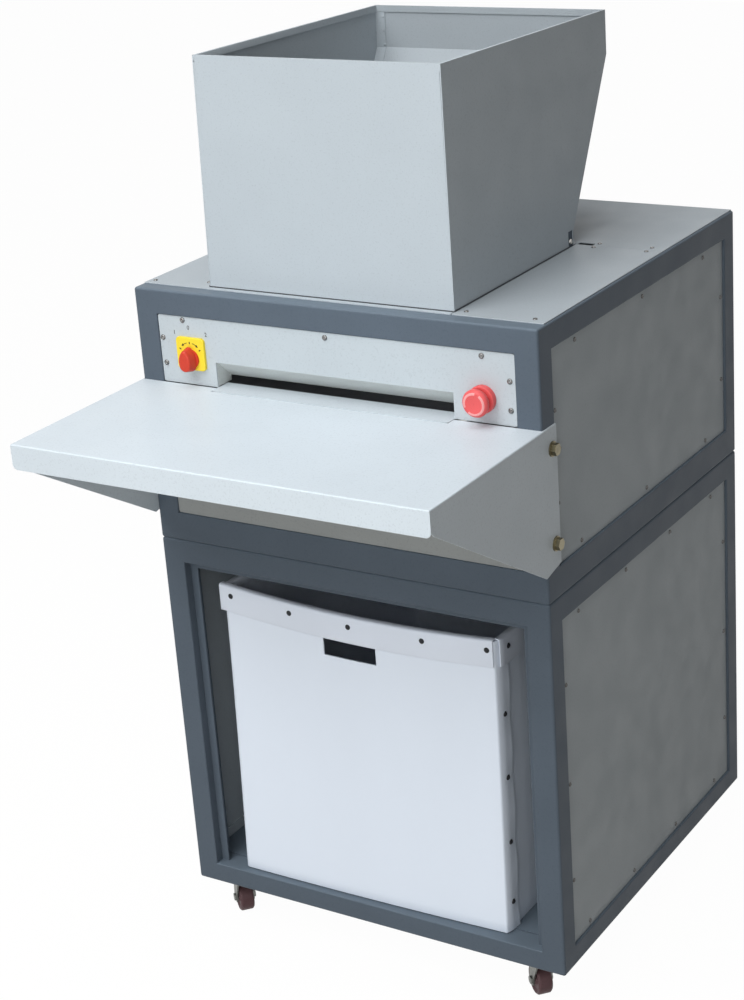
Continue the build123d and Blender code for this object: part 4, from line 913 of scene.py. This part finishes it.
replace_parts(bin_front(), "bin_body")
bin_walls()
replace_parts(bin_bands()[0], "bin_rim")
rivet = turned_head(RIVET_PROFILE, *RIVET)
rivet_levels = [(x, RIM_TOP - RIVET_DROP + droop(x, RIM_TOP)) for x in FRONT_RIVETS]
scatter(
    "bin_front_rivets",
    rivet,
    [at(x, RIM_LOW.y + bow(x, RIM_TOP), z) for x, z in rivet_levels],
    (0, -1, 0),
    BLACK,
    "bin",
)
scatter(
    "bin_rear_rivets",
    rivet,
    [at(x, RIM_HIGH.y, z) for x, z in rivet_levels],
    (0, 1, 0),
    BLACK,
    "bin",
)
flange_y = BIN_LOW.y + FLANGE_REACH / 2
for label, side, band_x, flange_x in (
    ("bin_side_rivets_left", -1, RIM_LOW.x, BIN_LOW.x),
    ("bin_side_rivets_right", 1, RIM_HIGH.x, BIN_HIGH.x),
):
    level = RIM_TOP - SIDE_RIVET_DROP + droop(band_x, RIM_TOP)
    places = [at(band_x, y, level) for y in SIDE_RIVETS]
    places += [at(flange_x, flange_y + bow(flange_x, z), z) for z in FLANGE_RIVETS]
    scatter(label, rivet, places, (side, 0, 0), BLACK, "bin")


# Controls: dial marks and numbers at the switch, and arcs on the stop button, in millimetres

SWITCH_LOW, SWITCH_HIGH = box_mm("switch_plate")
HEAD_LOW, HEAD_HIGH = box_mm("stop_button_head")
DIAL_DROP = 3.0
DIAL_X = (SWITCH_LOW.x + SWITCH_HIGH.x) / 2
DIAL_Z = (SWITCH_LOW.z + SWITCH_HIGH.z) / 2 - DIAL_DROP
STOP_X = (HEAD_LOW.x + HEAD_HIGH.x) / 2
STOP_Z = (HEAD_LOW.z + HEAD_HIGH.z) / 2
HEAD_R = (HEAD_HIGH.x - HEAD_LOW.x) / 2
MARK_T = 0.25
MARK_ROOT = 0.15
NUMBER_ROOT = MARK_T / 4
RAY_START = 50.0

# Dial: angles clockwise from the top in degrees, and radii.
DIAL_STEPS = (-60, 0, 60)
TICK_RADII = (18.5, 22.0)
TICK_HALF = 2.4
ARC_RADII = (20.0, 20.9)
ARC_START = 14
ARC_END = 34
TICK_STEPS = 2
ARC_STEPS = 10
TIP_RADIUS = 20.45
TIP_HALF = 2.0
TIP_LENGTH = 4.4
NUMBER_SIZE = 9.0
NUMBERS = (("1", 66.0, 948.0), ("0", 92.0, 957.0), ("2", 123.0, 949.0))

# Stop head: start and end angles of the arcs, and radii across them as shares of the head's. The pale
# arcs are twist arrows, and their pale colour is also a painted highlight of the head's rim.
STOP_ARCS = ((-112, 8), (34, 216))
STOP_ARC_RADII = (0.66, 0.71, 0.75, 0.79, 0.83)
STOP_ARC_STEPS = 22


def upright(x, y, z):
    """The turn and shift that stand a drawing in X and Y up on a face that looks to the front."""
    return Matrix.Translation(at(x, y, z)) @ Matrix.Rotation(math.pi / 2, 4, "X")


def number_mesh(text):
    """A plain digit as a thin solid."""
    curve = bpy.data.curves.new("digit", "FONT")
    curve.body = text
    curve.size = NUMBER_SIZE * MM
    curve.align_x = "CENTER"
    curve.align_y = "CENTER"
    curve.extrude = MARK_T / 2 * MM
    holder = bpy.data.objects.new("digit", curve)
    mesh = bpy.data.meshes.new_from_object(holder)
    bpy.data.objects.remove(holder)
    return mesh


def flat(radius):
    """The level of a flat face, the same at every radius."""
    return 0.0


def ring_band(bm, radii, start, end, level, count):
    """Adds a raised arc band about the origin, clockwise from the top, on a face of given level."""
    section = [(r, level(r) + MARK_T) for r in radii]
    section += [(r, level(r) - MARK_ROOT) for r in reversed(radii)]
    rows = []
    for k in range(count + 1):
        angle = math.radians(start + (end - start) * k / count)
        points = [(r * math.sin(angle) * MM, r * math.cos(angle) * MM, h * MM) for r, h in section]
        rows.append([bm.verts.new(point) for point in points])
    for first, second in zip(rows, rows[1:]):
        for i in range(len(section)):
            after = (i + 1) % len(section)
            bm.faces.new((first[i], first[after], second[after], second[i]))
    bm.faces.new(rows[0])
    bm.faces.new(rows[-1][::-1])


def arrow_tip(bm, angle, turn):
    """Adds a raised triangle on the dial at the end of an arc, pointing along it."""
    start = math.radians(angle)
    tip = start + turn * TIP_LENGTH / TIP_RADIUS
    corners = [(TIP_RADIUS - TIP_HALF, start), (TIP_RADIUS + TIP_HALF, start), (TIP_RADIUS, tip)]
    rings = []
    for lift in (-MARK_ROOT, MARK_T):
        points = [(r * math.sin(a), r * math.cos(a), lift) for r, a in corners]
        rings.append([bm.verts.new((x * MM, y * MM, z * MM)) for x, y, z in points])
    bm.faces.new(rings[1])
    bm.faces.new(rings[0][::-1])
    for i in range(3):
        after = (i + 1) % 3
        bm.faces.new((rings[0][i], rings[0][after], rings[1][after], rings[1][i]))


def settle(bm, matrix):
    """Moves a drawing to its place and turns its faces outwards."""
    bmesh.ops.transform(bm, matrix=matrix, verts=bm.verts)
    bmesh.ops.recalc_face_normals(bm, faces=bm.faces)


def dial_marks():
    """Ticks at the switch's three positions and two arrows between them, on the face plate."""
    bm = bmesh.new()
    for angle in DIAL_STEPS:
        ring_band(bm, TICK_RADII, angle - TICK_HALF, angle + TICK_HALF, flat, TICK_STEPS)
    for turn in (-1, 1):
        ring_band(bm, ARC_RADII, turn * ARC_START, turn * ARC_END, flat, ARC_STEPS)
        arrow_tip(bm, turn * ARC_END, turn)
    settle(bm, upright(DIAL_X, SWITCH_LOW.y, DIAL_Z))
    add("switch_dial_marks", bm, INK, "cabinet", False)


def panel_numbers():
    """A number beside each of the switch's positions, on the front panel."""
    bm = bmesh.new()
    for text, x, z in NUMBERS:
        before = len(bm.verts)
        bm.from_mesh(number_mesh(text))
        bm.verts.ensure_lookup_table()
        matrix = upright(x, panel_y - NUMBER_ROOT, z)
        bmesh.ops.transform(bm, matrix=matrix, verts=bm.verts[before:])
    add("switch_numbers", bm, INK, "cabinet", False)


def stop_arrows():
    """Two raised arcs round the stop head's face, as on a button that is twisted free; their pale
    colour is also a painted highlight of the head's rim.
    """
    head = nodes["stop_button_head"].data
    corners = [vertex.co for vertex in head.vertices]
    face = BVHTree.FromPolygons(corners, [tuple(polygon.vertices) for polygon in head.polygons])

    def level(radius):
        """How far the dished face stands forward of the head's back at a radius."""
        outside = at(STOP_X + radius, HEAD_LOW.y - RAY_START, STOP_Z)
        hit = face.ray_cast(outside, Vector((0, 1, 0)))[0]
        return HEAD_HIGH.y - (hit.y - FRONT) / MM

    bm = bmesh.new()
    radii = [HEAD_R * share for share in STOP_ARC_RADII]
    for start, end in STOP_ARCS:
        ring_band(bm, radii, start, end, level, STOP_ARC_STEPS)
    settle(bm, upright(STOP_X, HEAD_HIGH.y, STOP_Z))
    add("stop_head_arrows", bm, PALE_PRINT_AND_HIGHLIGHT, "stop_head", False)


dial_marks()
panel_numbers()
stop_arrows()

# Hopper: the bracket and screw in the notch at its heel, and weld spots by its rear left corner

HOPPER_LOW, HOPPER_HIGH = box_mm("hopper_shell")
HEEL_IN = 2.5
HEEL_X = HOPPER_HIGH.x - HEEL_IN
HEEL_Y = (374.0, 400.0)
HEEL_Z = (1012.0, 1040.0)
HEEL_T = 2.0
HEEL_STEPS = 3
HEEL_SCREW_Y = 392.5
HEEL_SCREW_Z = 1020.5

# Weld spots: places in X and Z, radius and height in metres, and distance in from the rear.
CORNER_WELDS = ((141.0, 1325.0), (140.6, 1303.0), (140.0, 1281.0))
CORNER_WELD = (0.0018, 0.0010)
CORNER_IN = 3.0
CORNER_Y = HOPPER_HIGH.y - CORNER_IN


def heel_bracket():
    """A small plate inside the hopper's right wall, closing the notch at its heel."""
    x = HEEL_X - HEEL_T / 2
    rows = [[(x, y, z) for y in steps(*HEEL_Y, HEEL_STEPS)] for z in steps(*HEEL_Z, HEEL_STEPS)]
    piece = add("hopper_heel_bracket", sheet(rows), FRAME_PAINT, "cabinet", False)
    thicken(piece, HEEL_T)


heel_bracket()
scatter(
    "hopper_corner_welds",
    turned_head(RIVET_PROFILE, *CORNER_WELD),
    [at(x, CORNER_Y, z) for x, z in CORNER_WELDS],
    (0, -1, 0),
    TOP_SHADED_COAT,
    "cabinet",
)
scatter(
    "hopper_heel_screw",
    small_head,
    [at(HEEL_X, HEEL_SCREW_Y, HEEL_SCREW_Z)],
    (1, 0, 0),
    SCREW,
    "cabinet",
)

# Hopper foot: dark strips in the corners between the hopper's walls and the top covers, a painted
# shade in the joints

HOPPER_FRONT_Y = 33.0
SHADE_STRIP_END_Y = 381.0
SHADE_STRIP_T = 1.2
SHADE_STRIP_H = 2.0
FRONT_SHADE_STRIP_H = 1.4
COVER_Z = box_mm("top_right_panel")[1].z


def bar(bm, low, high):
    """Adds a box between two corners in millimetres."""
    low, high = at(*low), at(*high)
    place = Matrix.Translation((low + high) / 2) @ Matrix.Diagonal((*(high - low), 1))
    bmesh.ops.create_cube(bm, size=1, matrix=place)


def foot_shade_strips():
    """Thin dark strips round three sides of the hopper's foot, on the covers and against the walls:
    painted shade in the joints.
    """
    bm = bmesh.new()
    front, left, right = HOPPER_FRONT_Y, HOPPER_LOW.x, HOPPER_HIGH.x
    side_top = COVER_Z + SHADE_STRIP_H
    bar(bm, (right, front, COVER_Z), (right + SHADE_STRIP_T, SHADE_STRIP_END_Y, side_top))
    bar(bm, (left - SHADE_STRIP_T, front, COVER_Z), (left + SHADE_STRIP_T / 2, SHADE_STRIP_END_Y, side_top))
    bar(bm, (left, front - SHADE_STRIP_T, COVER_Z), (right + SHADE_STRIP_T, front, COVER_Z + FRONT_SHADE_STRIP_H))
    add("hopper_foot_shade_strips", bm, FOOT_SHADE, "cabinet", False)


foot_shade_strips()

# Bin opening: the ledge on the front base rail, under the floor sheet's front edge

FLOOR_LOW = box_mm("floor_panel")[0]
TUBE = 38.0
LEDGE_T = 2.5
LEDGE_ROOT = 1.5
LEDGE_REACH = 14.0
LEDGE_STEPS = 2


def floor_ledge():
    """A flat strip on the rail's rear face, which closes the joint between rail and floor sheet."""
    z = FLOOR_LOW.z - LEDGE_T / 2
    ledge_x = steps(TUBE, WIDTH / MM - TUBE, LEDGE_STEPS)
    ledge_y = steps(FLOOR_LOW.y - LEDGE_ROOT, FLOOR_LOW.y + LEDGE_REACH, LEDGE_STEPS)
    rows = [[(x, y, z) for x in ledge_x] for y in ledge_y]
    piece = add("floor_front_ledge", sheet(rows), FRAME_PAINT, "cabinet", False)
    thicken(piece, LEDGE_T)


floor_ledge()

# Camera, at the photo's place in the millimetres of at()

LENS = 76.70
SENSOR = 36.0
CLIP_END = 100.0
CAMERA_PLACE = (1954.2, -2396.5, 1843.1)
AZIMUTH = math.radians(33.066)
ELEVATION = math.radians(21.292)
ROLL = math.radians(-4.272)


def place_camera():
    """The camera, turned by its azimuth, elevation and roll."""
    data = bpy.data.cameras.new("camera")
    data.lens = LENS
    data.sensor_width = SENSOR
    data.dof.use_dof = False
    data.clip_end = CLIP_END
    camera = bpy.data.objects.new("camera", data)
    bpy.context.scene.collection.objects.link(camera)
    level = math.cos(ELEVATION)
    back = Vector((math.sin(AZIMUTH) * level, -math.cos(AZIMUTH) * level, math.sin(ELEVATION)))
    right = (-back).cross(Vector((0, 0, 1))).normalized()
    down = (-back).cross(right)
    turned_right = math.cos(ROLL) * right - math.sin(ROLL) * down
    turned_down = math.sin(ROLL) * right + math.cos(ROLL) * down
    axes = Matrix((turned_right, -turned_down, back)).transposed().to_4x4()
    camera.matrix_world = Matrix.Translation(at(*CAMERA_PLACE)) @ axes
    bpy.context.scene.camera = camera


place_camera()
bpy.context.scene.view_settings.view_transform = "Standard"

# Floor, world and lights, in metres

FLOOR_HALF = 9.0
FLOOR_DROP = 0.0004
FLOOR_COLOUR = (0.42, 0.40, 0.37, 1)
FLOOR_ROUGH = 0.9
FLOOR_GLOW = 1.04
FLOOR_SHARE = 0.94
AMBIENT_COLOUR = (0.93, 0.97, 1.0, 1)
AMBIENT = 0.05
WHITE = (1, 1, 1, 1)

# Name, place, target, width and height, power in watts, and colour of each lamp.
LAMPS = (
    ("key", (-1.1, -2.6, 3.9), (0, 0, 0.8), (2.6, 2.2), 76.0, (0.95, 0.98, 1.0)),
    ("high_right", (0.5, -2.8, 3.9), (0, 0, 0.8), (2.6, 2.2), 45.0, (0.95, 0.98, 1.0)),
    ("overhead", (-0.3, -0.5, 4.4), (0, 0, 0.8), (2.6, 2.2), 54.0, (0.95, 0.98, 1.0)),
    ("front", (-0.6, -3.6, 0.9), (0, 0, 0.5), (2.6, 1.6), 21.0, (0.92, 0.97, 1.0)),
    ("near", (1.4, -3.4, 1.6), (0, 0, 0.6), (2.2, 1.8), 35.0, (0.94, 0.98, 1.0)),
)


def seen_white(tree, share):
    """A share for the rays that show the background: seen straight, mirrored or through glass."""
    rays = tree.nodes.new("ShaderNodeLightPath")
    total = rays.outputs["Is Camera Ray"]
    for kind in ("Is Glossy Ray", "Is Transmission Ray"):
        either = tree.nodes.new("ShaderNodeMath")
        either.operation = "MAXIMUM"
        tree.links.new(total, either.inputs[0])
        tree.links.new(rays.outputs[kind], either.inputs[1])
        total = either.outputs[0]
    part = tree.nodes.new("ShaderNodeMath")
    part.operation = "MULTIPLY"
    part.inputs[1].default_value = share
    tree.links.new(total, part.inputs[0])
    return part.outputs[0]


def show_white(tree, share, usual, white, output):
    """Mixes a white shader over the usual one for the rays that show the background."""
    mix = tree.nodes.new("ShaderNodeMixShader")
    tree.links.new(seen_white(tree, share), mix.inputs["Fac"])
    tree.links.new(usual.outputs[0], mix.inputs[1])
    tree.links.new(white.outputs[0], mix.inputs[2])
    tree.links.new(mix.outputs[0], tree.nodes[output].inputs["Surface"])


def make_floor():
    """A plain pale floor just under the part."""
    half = FLOOR_HALF
    corners = [(-half, -half, 0), (half, -half, 0), (half, half, 0), (-half, half, 0)]
    mesh = bpy.data.meshes.new("floor")
    mesh.from_pydata(corners, [], [(0, 1, 2, 3)])
    floor = bpy.data.objects.new("floor", mesh)
    floor.location.z = cad_low.z - FLOOR_DROP
    bpy.context.scene.collection.objects.link(floor)
    look = bpy.data.materials.new("floor_white")
    look.use_nodes = True
    tree = look.node_tree
    diffuse = tree.nodes["Principled BSDF"]
    diffuse.inputs["Base Color"].default_value = FLOOR_COLOUR
    diffuse.inputs["Roughness"].default_value = FLOOR_ROUGH
    glow = tree.nodes.new("ShaderNodeEmission")
    glow.inputs["Color"].default_value = WHITE
    glow.inputs["Strength"].default_value = FLOOR_GLOW
    show_white(tree, FLOOR_SHARE, diffuse, glow, "Material Output")
    mesh.materials.append(look)


def make_world():
    """A dim world that the camera sees as white."""
    world = bpy.data.worlds.new("studio")
    bpy.context.scene.world = world
    world.use_nodes = True
    tree = world.node_tree
    ambient = tree.nodes["Background"]
    ambient.inputs["Color"].default_value = AMBIENT_COLOUR
    ambient.inputs["Strength"].default_value = AMBIENT
    white = tree.nodes.new("ShaderNodeBackground")
    white.inputs["Color"].default_value = WHITE
    white.inputs["Strength"].default_value = 1.0
    show_white(tree, 1.0, ambient, white, "World Output")


def softbox(name, place, target, size, power, colour):
    """A rectangular lamp that looks at a target."""
    data = bpy.data.lights.new(name, "AREA")
    data.shape = "RECTANGLE"
    data.size, data.size_y = size
    data.energy = power
    data.color = colour
    lamp = bpy.data.objects.new(name, data)
    bpy.context.scene.collection.objects.link(lamp)
    lamp.location = place
    lamp.rotation_euler = (Vector(target) - Vector(place)).to_track_quat("-Z", "Y").to_euler()


make_floor()
make_world()
for lamp in LAMPS:
    softbox(*lamp)
